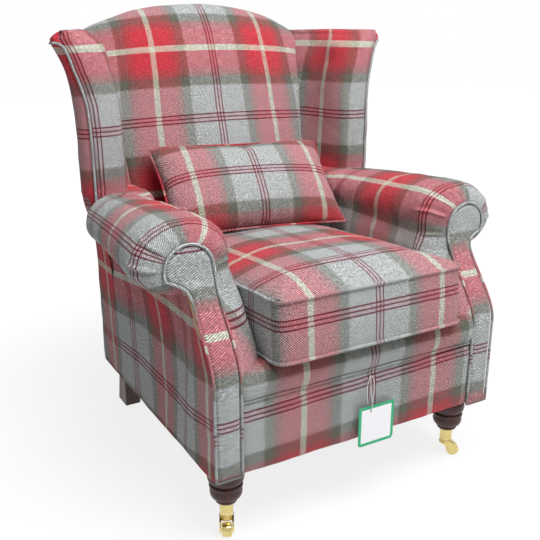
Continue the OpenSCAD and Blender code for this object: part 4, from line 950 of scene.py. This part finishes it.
rim_dip[: len(front_runs)] = 0.004 * np.exp(-front_runs / 4)
side_grid = moved(side_grid, ripple(side_grid, 0.0009, 0.17, 6.0) - rim_dip[:, None], (1, 0, 0))
# Place of the cream lines: y of the upright one behind, and height of the level one
SIDE_CREAM_Y, SIDE_CREAM_Z = 0.188, 0.434
side_y = (side_u + (side_grid[60, 20, 1] - side_u[60]))[:, None]
side_z = side_grid[..., 2]
# The panel is pulled up towards the scroll in front, and the upright lines lean with it
lifted = 0.030 * smooth_step((-side_y - 0.24) / 0.17)
leaning = 0.42 * (side_z - 0.40) * np.exp(-(((side_y + 0.12) / 0.15) ** 2)) + 0.052 - 0.12 * side_y
leaning += 0.1 * (side_z - 0.32) * smooth_step((side_y + 0.15) / 0.15)
uv = pairs(side_y - SIDE_CREAM_Y - leaning, side_z - SIDE_CREAM_Z - lifted)
for side_name, sign in SIDES.items():
    cover = cover_from("side_panel_" + side_name, [(mirrored(side_grid, sign), uv)], (0, 0, 0.4))
    lining = cover.modifiers.new("lining", "SOLIDIFY")
    lining.thickness, lining.offset = 0.005, -1
    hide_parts("outside_arm_" + side_name)

# ---- Facings ------------------------------------------------------------------------------------------
# A thin board under a thin pad, cut as a strip that swells into the scroll, and covered with one piece of
# cloth. A piped seam runs all round it.

# Angles at which the scroll's round starts and ends, and the points along it
SCROLL_ARC = np.radians(np.linspace(-19, 168, 56))


def facing_outline(inset, strip=40):
    """Outline of the facing in X and Z, and the middle that each of its points is drawn in towards: up the
    outer edge, round the scroll, and down the inner edge to the foot."""
    a, b, r = SEAM_IN + inset, SEAM_OUT - inset, SCROLL_R - inset
    neck = SCROLL_Z - SCROLL_R
    rising = neck + inset
    notch = [[b, neck - 6], [b + 3, rising + 7], [b + 11, rising + 17], [b + 24, rising + 25]]
    z_up = np.linspace(BASE_Z + inset, neck - 6, strip)
    scroll = pairs(SCROLL_X + r * np.cos(SCROLL_ARC), SCROLL_Z + r * np.sin(SCROLL_ARC))
    fillet = smooth_along(np.array([*notch, scroll[0]]), 12)[1:-1]
    shoulder = smooth_along(np.array([scroll[-1], [a, SCROLL_Z - 17], [a, neck - 6]]), 12)[1:-1]
    foot = pairs(np.linspace(a, b, 10)[1:-1], BASE_Z + inset)
    line = np.concatenate([pairs(b, z_up), fillet, scroll, shoulder, pairs(a, z_up[::-1]), foot])
    mid, high = (SEAM_IN + SEAM_OUT) / 2, np.array([SCROLL_X, SCROLL_Z])
    middle_up = pairs(mid, np.maximum(z_up, BASE_Z + 30))
    to_scroll = mix(np.array([mid, neck - 6]), high, np.linspace(0, 1, 12)[1:-1, None])
    round_scroll = np.tile(high, (len(scroll), 1))
    at_foot = np.tile([mid, BASE_Z + 30], (len(foot), 1))
    centre = np.concatenate([middle_up, to_scroll, round_scroll, to_scroll[::-1], middle_up[::-1], at_foot])
    return line, centre


outline, centre = facing_outline(1.2)
rings = np.concatenate([np.linspace(1, 0.86, 12), np.linspace(0.82, 0, 14)])
flat = mix(centre[None], outline[None], rings[:, None, None])
# The pad stands 3.5 mm out in its field, and dips back by 6.5 mm into the piped seam at its edge
near_edge = np.linalg.norm(outline - centre, axis=1)[None, :] * (1 - rings[:, None])
y = facing_y(flat[..., 1]) - 3.5 * (1 - np.exp(-near_edge / 12)) + 6.5 * np.exp(-((near_edge / 5.5) ** 2))
facing_grid = np.stack([flat[..., 0], y, flat[..., 1]], -1) * MM
level = np.linspace(BASE_Z - 10, SCROLL_Z + SCROLL_R + 10, 200)
climb = arc_length(pairs(facing_y(level), level))
FACING_CREAM = {"left": 0.450, "right": 0.466}
cord_line = facing_outline(1.6, 30)[0]
cord_path = np.stack([cord_line[:, 0], facing_y(cord_line[:, 1]) + 0.4, cord_line[:, 1]], -1) * MM
cord_climb = np.interp(np.append(cord_line[:, 1], cord_line[0, 1]), level, climb)[:, None]
for side_name, sign in SIDES.items():
    start = np.interp(FACING_CREAM[side_name] / MM, level, climb)
    uv = pairs((flat[..., 0] - SCROLL_X) * 0.6 + 125, np.interp(flat[..., 1], level, climb) - start) * MM
    panel = (mirrored(facing_grid, sign), np.concatenate([uv, uv[:, :1]], 1), True)
    pad = cover_from("facing_pad_" + side_name, [panel], (sign * 0.33, -0.2, 0.4), merge=2e-4)
    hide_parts("facing_" + side_name)
    # The cord's cover is cut along the same stripe as the facing, a little out of step with it
    grid, uv = tube_grid(mirrored(cord_path, sign), 3.0 * MM, loop=True)
    step = (cord_climb - start + 22) * MM
    step = np.where(step > 0.12, 0.12 + 0.02 * np.sin((step - 0.12) / 0.02), step)
    pipe = cord_from("facing_cord_" + side_name, [(grid, pairs(GREY_AT + uv[..., 1], step))])
    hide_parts("facing_piping_" + side_name)

# ---- Front lip and apron ------------------------------------------------------------------------------
# Below the seat cushion a padded roll is tacked to the front rail. A piped seam joins it to the apron,
# a flat panel that turns in under the rail.

APRON_SEAM = 319
SEAT_SLOPE = math.radians(4)
CUSHION_FRONT, SEAT_Z = -BODY_FRONT - 29, 391
ACROSS_STEPS = 150
# Radius of the cords in the apron's seam and in the seat cushion's
CORD_R = 3.6 * MM


def seat_plane(y):
    """Height of the seat's deck, which falls towards the back by its slope."""
    return SEAT_Z - (y - CUSHION_FRONT) * math.tan(SEAT_SLOPE)


def drawn_across(profile):
    """A profile (y, z) in mm carried straight across from facing to facing."""
    x = np.linspace(0.5 - SEAM_IN, SEAM_IN - 0.5, ACROSS_STEPS)
    return np.stack(np.broadcast_arrays(x, profile[:, :1], profile[:, 1:]), -1) * MM


def near_facing(grid, reach):
    """exp(-distance / reach) from the nearer facing, where the cover is drawn in."""
    return np.exp(-(SEAM_IN - np.abs(grid[..., 0]) / MM) / reach)


nose = -BODY_FRONT + 20
lip_top = seat_plane(nose) - 0.3
mid, half = mix(APRON_SEAM, lip_top, 0.5), (lip_top - APRON_SEAM) / 2
turn = np.radians(np.linspace(0, 180, 40))
lip_line = pairs(nose - 27 * np.sin(turn) ** 0.8, mid + half * np.cos(turn))
lip_line = np.concatenate([[[nose + 34, seat_plane(nose + 34) - 1]], lip_line, [[nose - 6, APRON_SEAM - 1]]])
lip_grid = drawn_across(smooth_along(lip_line, 60))
lip_grid[..., 1] += 0.006 * near_facing(lip_grid, 5) + ripple(lip_grid, 0.0016, 0.12, 7.0)
lip_v = arc_length(lip_grid[:, ACROSS_STEPS // 2])
# Place of the three maroon lines: the upright ones, and the level ones
APRON_TRIPLE_X, APRON_TRIPLE_Z = 0.015, 0.296
above_seam = (lip_v[-1] - lip_v)[:, None] + APRON_SEAM * MM
uv = pairs(lip_grid[0, :, 0] - APRON_TRIPLE_X + HALF_X, above_seam - APRON_TRIPLE_Z + HALF_Z)
lip = cover_from("front_lip_padding", [(lip_grid, uv)], (0, -0.36, 0.35))
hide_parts("front_lip")

apron_line = np.array([
    [40, BASE_Z + 1], [16, BASE_Z + 0.3], [7, BASE_Z + 2], [4, BASE_Z + 10], [2.5, BASE_Z + 40],
    [1.5, BASE_Z + 85], [3, APRON_SEAM - 20], [6, APRON_SEAM - 7], [14, APRON_SEAM],
]) - [BODY_FRONT, 0]
apron_grid = drawn_across(smooth_along(apron_line, 90))
apron_grid[..., 1] += 0.005 * near_facing(apron_grid, 4) + ripple(apron_grid, 0.0009, 0.15, 8.0)
x, z = apron_grid[..., 0], apron_grid[..., 2]
# The level stripes run a little askew
uv = pairs(x - APRON_TRIPLE_X + HALF_X, z - APRON_TRIPLE_Z + HALF_Z - 0.026 * x)
apron = cover_from("apron_panel", [(apron_grid, uv)], (0, -0.36, 0.25))
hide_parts("apron")
seam_x = np.linspace(3 - SEAM_IN, SEAM_IN - 3, 90)
seam = np.stack(np.broadcast_arrays(seam_x, 6.5 - BODY_FRONT, APRON_SEAM), -1) * MM
grid, uv = tube_grid(seam, CORD_R)
uv = pairs(seam[:, :1] - APRON_TRIPLE_X + HALF_X, GREY_AT + uv[..., 1])
pipe = cord_from("apron_cord", [(grid, uv)])
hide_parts("apron_piping")

# ---- Seat cushion -------------------------------------------------------------------------------------
# A boxed cushion: a top and a bottom panel and a border, sewn with piping into both seams, over foam
# wrapped in fibre. It crowns in the middle and its border swells a little between the seams.

CUSHION_W, CUSHION_D, CUSHION_H, CROWN = 460, 608, 128, 35
BORDER_LOW, BORDER_TOP = 4, CUSHION_H - 2
CUSHION_MIDDLE = np.array([0, CUSHION_D / 2])


def turned(p, q, angle):
    """Two coordinates turned by an angle a: p cos a + q sin a, and q cos a - p sin a."""
    c, s = math.cos(angle), math.sin(angle)
    return p * c + q * s, q * c - p * s


def on_seat(grid):
    """From the cushion's own frame (mm, front edge at y = 0) to the chair's."""
    y, z = turned(grid[..., 1], grid[..., 2], SEAT_SLOPE)
    return np.stack([grid[..., 0], CUSHION_FRONT + y, SEAT_Z + z], -1) * MM


def seat_frame(points):
    """From the chair's frame back to the cushion's own, in mm."""
    x, y, z = (points / MM).T
    return np.stack([x, *turned(y - CUSHION_FRONT, z - SEAT_Z, -SEAT_SLOPE)], -1)


def superellipse(a, b, power=26):
    """The square |a|, |b| <= 1 drawn in to |x|^n + |y|^n = 1 at its corners."""
    reach = np.maximum(np.abs(a), np.abs(b))
    round_off = (np.abs(a) ** power + np.abs(b) ** power) ** (1 / power)
    pull = np.where(round_off > 0, reach / np.maximum(round_off, 1e-9), 1)
    return a * pull, b * pull


def even_edges(count, bunch=0.25):
    """Numbers from -1 to 1, closer together near both ends."""
    t = np.linspace(-1, 1, count)
    return mix(t, np.sin(t * np.pi / 2), bunch)


def plumped(piece, pinned, pressure, cap, stiffness=14.0):
    """Blows the cover out from inside with cloth under pressure, moves no point further than the cap,
    and gives back the moved points. Pinned points keep their place by their weight."""
    mesh = piece.data
    rest = np.empty(len(mesh.vertices) * 3, np.float32)
    mesh.vertices.foreach_get("co", rest)
    group = piece.vertex_groups.new(name="seam")
    for level in np.unique(np.round(pinned, 2)):
        if level > 0:
            group.add(np.nonzero(np.round(pinned, 2) == level)[0].tolist(), float(level), "REPLACE")
    cloth = piece.modifiers.new("cloth", "CLOTH")
    settings = cloth.settings
    settings.quality = 5
    settings.mass = 0.3
    settings.tension_stiffness = settings.compression_stiffness = stiffness
    settings.shear_stiffness = stiffness / 2
    settings.bending_stiffness = 0.6
    settings.use_pressure = True
    settings.uniform_pressure_force = pressure
    settings.vertex_group_mass = "seam"
    settings.effector_weights.gravity = 0
    cloth.collision_settings.use_collision = False
    cloth.collision_settings.use_self_collision = False
    cloth.point_cache.frame_start, cloth.point_cache.frame_end = 1, 20
    for step in range(1, 21):
        scene.frame_set(step)
    blown = piece.evaluated_get(bpy.context.evaluated_depsgraph_get()).to_mesh()
    moved_to = np.empty(len(rest), np.float32)
    blown.vertices.foreach_get("co", moved_to)
    piece.modifiers.remove(cloth)
    scene.frame_set(1)
    step = (moved_to - rest).reshape(-1, 3)
    far = np.linalg.norm(step, axis=1, keepdims=True)
    step *= np.minimum(1, cap / np.maximum(far, 1e-9))
    return rest.reshape(-1, 3) + step


def points_of(piece):
    co = np.empty(len(piece.data.vertices) * 3, np.float32)
    piece.data.vertices.foreach_get("co", co)
    return co.reshape(-1, 3).astype(float)


def set_points(piece, points):
    piece.data.vertices.foreach_set("co", points.astype(np.float32).ravel())
    piece.data.update()


def subdivided(piece):
    finer = piece.modifiers.new("finer", "SUBSURF")
    finer.levels = finer.render_levels = 1


def rim_of(grid):
    """The points round a grid's edge, in order."""
    return np.concatenate([grid[:-1, 0], grid[-1, :-1], grid[:0:-1, -1], grid[0, :0:-1]])


def spread(line, share):
    """Points (x, y) in the cushion's own frame, scaled by a share from its middle."""
    return (line - CUSHION_MIDDLE) * share + CUSHION_MIDDLE


def held_by_arms(points, behind, ahead):
    """Keeps x within one half width behind y = 45, and within another ahead of it."""
    limit = np.where(points[:, 1] > 45, behind, ahead)
    points[:, 0] = np.clip(points[:, 0], -limit, limit)


a, b = np.meshgrid(even_edges(61), even_edges(79), indexing="ij")
ex, ey = superellipse(a, b)
inset = np.minimum((1 - np.abs(ex)) * CUSHION_W / 2, (1 - np.abs(ey)) * CUSHION_D / 2)
crown = np.interp(inset, [0, 12, 42, 90, 150, 200, 300], [-0.05, 0.25, 0.60, 0.87, 0.99, 1, 1]) * CROWN
panel_x, panel_y = ex * (CUSHION_W / 2 - 2), CUSHION_D / 2 + ey * (CUSHION_D / 2 - 2)
top_panel = np.stack([panel_x, panel_y, BORDER_TOP + 2 + crown], -1)
bottom_panel = np.stack([panel_x, panel_y, BORDER_LOW - 3.5 * np.clip(inset / 14, 0, 1)], -1)
ring = rim_of(top_panel)[:, :2]
levels = even_edges(15, 0.5)[:, None]
border = np.empty((15, len(ring), 3))
border[..., :2] = spread(ring, 1 + 0.007 * np.cos(levels * np.pi / 2)[..., None])
border[..., 2] = mix(BORDER_LOW, BORDER_TOP, (levels + 1) / 2)
# Place of the three maroon lines across the cushion and on its border, and the cloth's fit across it
CUSHION_TRIPLE_X, BORDER_TRIPLE, DRAWN_IN = 0.006, 0.470, 1.037
deep = arc_along(np.swapaxes(top_panel, 0, 1)).T * MM
deep = np.interp(deep, [0, 0.11, 0.263, 0.663], [-0.245, -HALF_Z, 0, 0.40])
uv_top = pairs((panel_x * MM - CUSHION_TRIPLE_X) * DRAWN_IN + HALF_X, deep)
# The border strip is measured from the front's middle, and starts and ends in the middle of the back
ring_u = arc_length(np.concatenate([ring, ring[:1]])) * MM
front_start = ring_u[len(a) // 2]
ring_u -= front_start
ring_u = np.where(ring_u > ring_u[-1] / 2, ring_u - ring_u[-1] - front_start, ring_u)
border_u = (ring_u - CUSHION_TRIPLE_X) * DRAWN_IN + HALF_X
uv_border = pairs(border_u[None, :], border[:, :1, 2] * MM + SEAT_Z * MM - BORDER_TRIPLE + HALF_Z)
panels = [(on_seat(top_panel), uv_top), (on_seat(bottom_panel), uv_top), (on_seat(border), uv_border, True)]
cushion = cover_from("seat_cushion", panels, (0, -0.14, 0.45), "seat_cushion", merge=1e-4)

drawn = seat_frame(points_of(cushion))
rim_share = np.abs(drawn[:, 0] / (CUSHION_W / 2)) ** 10 + np.abs(drawn[:, 1] / (CUSHION_D / 2) - 1) ** 10
from_seam = np.minimum(np.abs(drawn[:, 2] - BORDER_TOP), np.abs(drawn[:, 2] - BORDER_LOW))
# The seams and the bottom panel keep their place
kept = ((rim_share > 0.80) & (from_seam < 2.5)) | (drawn[:, 2] < BORDER_LOW - 0.5)
set_points(cushion, plumped(cushion, np.where(kept, 1.0, 0.0), 3.0, 9 * MM))
own = seat_frame(points_of(cushion))
# The filling holds the top up: it never sinks below its drawn height
own[:, 2] = np.where(drawn[:, 2] > BORDER_TOP - 1, np.maximum(own[:, 2], drawn[:, 2]), own[:, 2])
held_by_arms(own, 230.6, 233.5)
own[:, 1] = np.clip(own[:, 1], -4.5, CUSHION_D)
own[:, 2] = np.maximum(own[:, 2], 0.3)
x, y, z = own.T
dips = 1.08 * np.sin(x / 46 + 0.7) * np.sin(y / 61 + 0.4) + 0.72 * np.sin(x / 27 - y / 38)
own[:, 2] += np.where(z > BORDER_TOP + 6, dips, 0)
set_points(cushion, on_seat(own))
subdivided(cushion)
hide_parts("seat_cushion_cover")
tubes = []
x, y = spread(ring, 1 + 1.2 / 230).T
# Only the upper cord wavers: the lower one slides over the deck
for seam_z, waver in ((BORDER_LOW, 0), (BORDER_TOP, 0.8)):
    line = np.stack([x, y, seam_z + waver * np.sin(x / 40) * np.sin(y / 55)], -1)
    held_by_arms(line, 227.0, 229.5)
    grid, uv = tube_grid(on_seat(line), CORD_R, loop=True)
    tubes.append((grid, pairs(border_u[:, None], GREY_AT + uv[..., 1])))
pipe = cord_from("seat_cushion_cord", tubes, "seat_cushion")
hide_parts("seat_cushion_piping")

# ---- Lumbar cushion -----------------------------------------------------------------------------------
# A small rectangular scatter cushion, two panels sewn with a cord in the seam and filled with fibre. It
# leans on the seat cushion and swells most in its middle, so that its edges draw in between the corners.

LUMBAR_W, LUMBAR_H, LUMBAR_T, LUMBAR_LEAN = 468, 258, 128, math.radians(46)
LUMBAR_Y, LUMBAR_SHIFT = 20, 6
# Its right end hangs a little lower, and is pushed forward a little
LUMBAR_ROLL, LUMBAR_TURN = math.radians(1.6), math.radians(3.5)
LUMBAR_BACK = LUMBAR_Y + LUMBAR_H / 2 * math.sin(LUMBAR_LEAN) - LUMBAR_SHIFT
rest_y = LUMBAR_Y + 28
from_rear = CUSHION_FRONT + CUSHION_D - rest_y
crown_there = np.interp(from_rear, [12, 42, 90, 150, 200], [0.22, 0.55, 0.84, 0.98, 1])
lumbar_rise = (
    seat_plane(rest_y)
    + (CUSHION_H + crown_there * CROWN) / math.cos(SEAT_SLOPE)
    + math.hypot(LUMBAR_H * math.cos(LUMBAR_LEAN), LUMBAR_T * math.sin(LUMBAR_LEAN)) / 2 - 3.2
)


def on_lumbar(grid):
    """From the cushion's own frame (mm, its middle at 0, x across, z up, y through) to the chair's."""
    x, up = turned(grid[..., 0], grid[..., 2], LUMBAR_ROLL)
    y, z = turned(grid[..., 1], up, LUMBAR_LEAN)
    x, y = turned(x, y, LUMBAR_TURN)
    return np.stack([x + LUMBAR_SHIFT, y + LUMBAR_BACK, z + lumbar_rise], -1) * MM


def lumbar_frame(points):
    """From the chair's frame back to the cushion's own, in mm."""
    x, y, z = (points / MM).T
    x, y = turned(x - LUMBAR_SHIFT, y - LUMBAR_BACK, -LUMBAR_TURN)
    through, up = turned(y, z - lumbar_rise, -LUMBAR_LEAN)
    level, up = turned(x, up, -LUMBAR_ROLL)
    return np.stack([level, through, up], -1)


a, b = np.meshgrid(even_edges(65), even_edges(41), indexing="ij")
px = a * (LUMBAR_W / 2 - 1) * (1 - 0.045 * (1 - b**2) * a * a)
pz = b * (LUMBAR_H / 2 - 1) * (1 - 0.06 * (1 - a**2) * b * b)
full = np.sqrt(np.maximum(0, (1 - a**4) * (1 - b**2)))
# The upper seam lies forward of the middle, so that the rear panel shows above it
seam_y = -17 * np.clip(b, 0, 1) ** 2 * (1 - a**6)
near_top = np.sin(np.pi * np.clip((b - 0.45) / 0.55, 0, 1)) * (1 - a**4)
panels = []
# Front and rear panel: its side, how far it swells up near the top, and the way its cloth runs
for side, swell, up_cloth in ((-1, 0, 1.0), (1, 9, -1.14)):
    grid = np.stack([px, side * (LUMBAR_T / 2 - 7) * full**1.1 + seam_y, pz + swell * near_top], -1)
    uv = pairs(px * MM * 1.02 - 0.006 + HALF_X, pz * MM * up_cloth - 0.010 + HALF_Z)
    panels.append((on_lumbar(grid), uv))
lumbar = cover_from("lumbar_pillow", panels, (0, 0.11, 0.62), "lumbar_cushion", merge=1e-4)

own = lumbar_frame(points_of(lumbar))
rim = np.maximum(np.abs(own[:, 0]) / (LUMBAR_W / 2), np.abs(own[:, 2]) / (LUMBAR_H / 2))
set_points(lumbar, plumped(lumbar, np.where(rim > 0.985, 0.85, 0.0), 4.0, 16 * MM, 10.0))
own = lumbar_frame(points_of(lumbar))
x, through, up = own.T
# Short wrinkles fan in from both ends
wrinkle = 2.2 * np.exp(-(((LUMBAR_W / 2 - np.abs(x)) / 60) ** 2))
own[:, 1] += wrinkle * np.sin(up / 9 + x / 30) * np.clip(through / 12, -1, 1)
set_points(lumbar, on_lumbar(own))
subdivided(lumbar)
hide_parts("lumbar_cushion")
edge_line = rim_of(np.stack([px, seam_y, pz], -1))
grid, uv = tube_grid(on_lumbar(edge_line), 2.6 * MM, 10, loop=True)
pipe = cord_from("lumbar_cord", [(grid, uv + (0.02, 0.03))], "lumbar_cushion")
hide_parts("lumbar_piping")

# ---- Front legs and castors ---------------------------------------------------------------------------
# Each front leg is turned from the same stained hardwood: a collar, a drum and a ring. A brass cup is
# fixed on its foot, and under it a forked horn swivels and carries a solid brass wheel.

LEG_X, LEG_Y = 299, -350


def lathe(profile, x, y, steps=72):
    """Turned shape: P = (x + r cos a, y + r sin a, z) for each (r, z) of the profile."""
    a = np.linspace(0, 2 * np.pi, steps, endpoint=False)
    r, z = profile[:, :1], profile[:, 1:]
    grid = np.stack(np.broadcast_arrays(x + r * np.cos(a), y + r * np.sin(a), z), -1) * MM
    return grid, pairs(np.linspace(0, 1, steps + 1), arc_length(profile)[:, None] * MM)


def bead(r, z, wide, high):
    """Half round moulding: (r + wide cos a, z + high sin a), from its top to its foot."""
    a = np.radians(np.linspace(90, -90, 12))
    return pairs(r + wide * np.cos(a), z + high * np.sin(a))


cove = np.radians(np.linspace(0, 90, 14))
leg_line = np.concatenate([
    [[0, 167.7], [34, 167.7], [34.5, 149]],
    bead(33.5, 135, 5, 12),
    [[32.8, 122], [31.5, 120.5], [31.5, 118.5]],
    bead(32.5, 113.5, 2.8, 4.5),
    [[33, 108]],
    pairs(25 + 9 * np.cos(cove), 100 - 15 * np.sin(cove)),
    [[22.5, 84.4]],
    bead(20.5, 79, 3, 4.2),
    [[13.9, 73.3], [0, 73.3]],
])
cup_line = np.array([
    [13.4, 73.4], [15.2, 73.4], [15.6, 72.8], [15.4, 71.4], [15.1, 70.9], [14.15, 46], [14.35, 44.6],
    [14.35, 43], [13.6, 42.1], [0, 42.1],
])
# Names of the new piece and of the node it stands for, profile, finish, and a height inside it
TURNED = [
    ("turned_leg_", "front_leg_", leg_line, mahogany, "mahogany", 0.1),
    ("brass_cup_", "castor_cup_", cup_line, brass, "brass", 0.06),
]
for side_name, sign in SIDES.items():
    for new, old, profile, finish, slot, inside_z in TURNED:
        grid, uv = lathe(profile, sign * LEG_X, LEG_Y)
        inside = (sign * LEG_X * MM, LEG_Y * MM, inside_z)
        turning = piece_from(new + side_name, [(grid, uv, True)], finish, "frame", inside, sharp=40)
        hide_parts(old + side_name)
    dress(brass, "castor_horn_" + side_name, "castor_axle_" + side_name, "castor_wheel_" + side_name)

# ---- Swing tag ----------------------------------------------------------------------------------------
# A plain square card with a green border round its face, left bare inside, and a punched hole.

# The card's middle, and half the width of its bare field, in metres
CARD_X, CARD_Z, FIELD_HALF = 0.020, 0.198, 0.039
card, tree, shader = finish_of("card", Roughness=0.45)
place = own_place(tree)
parts = wire(tree, "ShaderNodeSeparateXYZ", [place]).node.outputs
from_x = number(tree, "ABSOLUTE", number(tree, "SUBTRACT", parts["X"], CARD_X))
from_z = number(tree, "ABSOLUTE", number(tree, "SUBTRACT", parts["Z"], CARD_Z))
border_share = number(tree, "GREATER_THAN", number(tree, "MAXIMUM", from_x, from_z), FIELD_HALF)
fibre = noise(tree, place, 900.0, 3.0)
white = blend_of(tree, fibre, linear(0.90, 0.90, 0.92), linear(0.97, 0.97, 0.98))
tree.links.new(blend_of(tree, border_share, white, linear(0.15, 0.66, 0.46)), shader.inputs["Base Color"])
bumped(tree, shader, fibre, 0.00005)
dress(card, "swing_tag")

# ---- Floor and light ----------------------------------------------------------------------------------
# A pale floor, an even white surround, and two large soft lamps. The floor turns quite white away from the
# chair, and the camera and glossy finishes see it and the surround as plain white.

FLOOR_HALF, FLOOR_Z = 9, -0.0002
floor_mesh = bpy.data.meshes.new("floor")
floor_corners = [(x * FLOOR_HALF, y * FLOOR_HALF, FLOOR_Z) for x, y in ((-1, -1), (1, -1), (1, 1), (-1, 1))]
floor_mesh.from_pydata(floor_corners, [], [(0, 1, 2, 3)])
floor = bpy.data.objects.new("floor", floor_mesh)
scene.collection.objects.link(floor)
floor_finish, tree, shader = finish_of("floor", Roughness=0.9)
shader.inputs["Base Color"].default_value = (0.9, 0.9, 0.9, 1)
glow = wire(tree, "ShaderNodeEmission", {"Color": (1, 1, 1, 1), "Strength": 1.04})
path = tree.nodes.new("ShaderNodeLightPath").outputs
reach = wire(tree, "ShaderNodeVectorMath", [own_place(tree)], operation="LENGTH").node.outputs["Value"]
# Inputs 1 and 2 are the distances from the middle, and 3 and 4 how white the floor is there
ramp = {0: reach, 1: 0.5, 2: 1.5, 3: 0.80, 4: 1.0}
whiter = wire(tree, "ShaderNodeMapRange", ramp, interpolation_type="SMOOTHSTEP")
seen = number(tree, "MULTIPLY", number(tree, "MAXIMUM", path["Is Camera Ray"], path["Is Glossy Ray"]), whiter)
both = wire(tree, "ShaderNodeMixShader", [seen, shader.outputs[0], glow])
tree.links.new(both, tree.nodes["Material Output"].inputs["Surface"])
floor_mesh.materials.append(floor_finish)

world = bpy.data.worlds.new("studio")
scene.world = world
world.use_nodes = True
tree = world.node_tree
path = tree.nodes.new("ShaderNodeLightPath").outputs
seen = number(tree, "MAXIMUM", path["Is Camera Ray"], number(tree, "MULTIPLY", path["Is Glossy Ray"], 0.6))
strength = blend_of(tree, seen, 0.25, 1.0, "FLOAT")
tree.links.new(strength, tree.nodes["Background"].inputs["Strength"])
tree.nodes["Background"].inputs["Color"].default_value = (1, 1, 1, 1)


def soft_lamp(name, place, aim, size, power):
    """A round lamp of that width and power in watts, turned towards its aim."""
    lamp = bpy.data.objects.new(name, bpy.data.lights.new(name, "AREA"))
    scene.collection.objects.link(lamp)
    lamp.data.shape, lamp.data.size, lamp.data.energy = "DISK", size, power
    lamp.location = place
    x, y, z = np.array(aim, float) - np.array(place, float)
    tilt = math.pi / 2 + math.atan2(z, math.hypot(x, y))
    lamp.rotation_euler = (tilt, 0, math.atan2(y, x) - math.pi / 2)


soft_lamp("overhead", (0.15, -1.2, 2.9), (0, 0, 0.5), 2.0, 98)
soft_lamp("front", (1.5, -2.7, 1.7), (0, 0, 0.5), 1.8, 9)
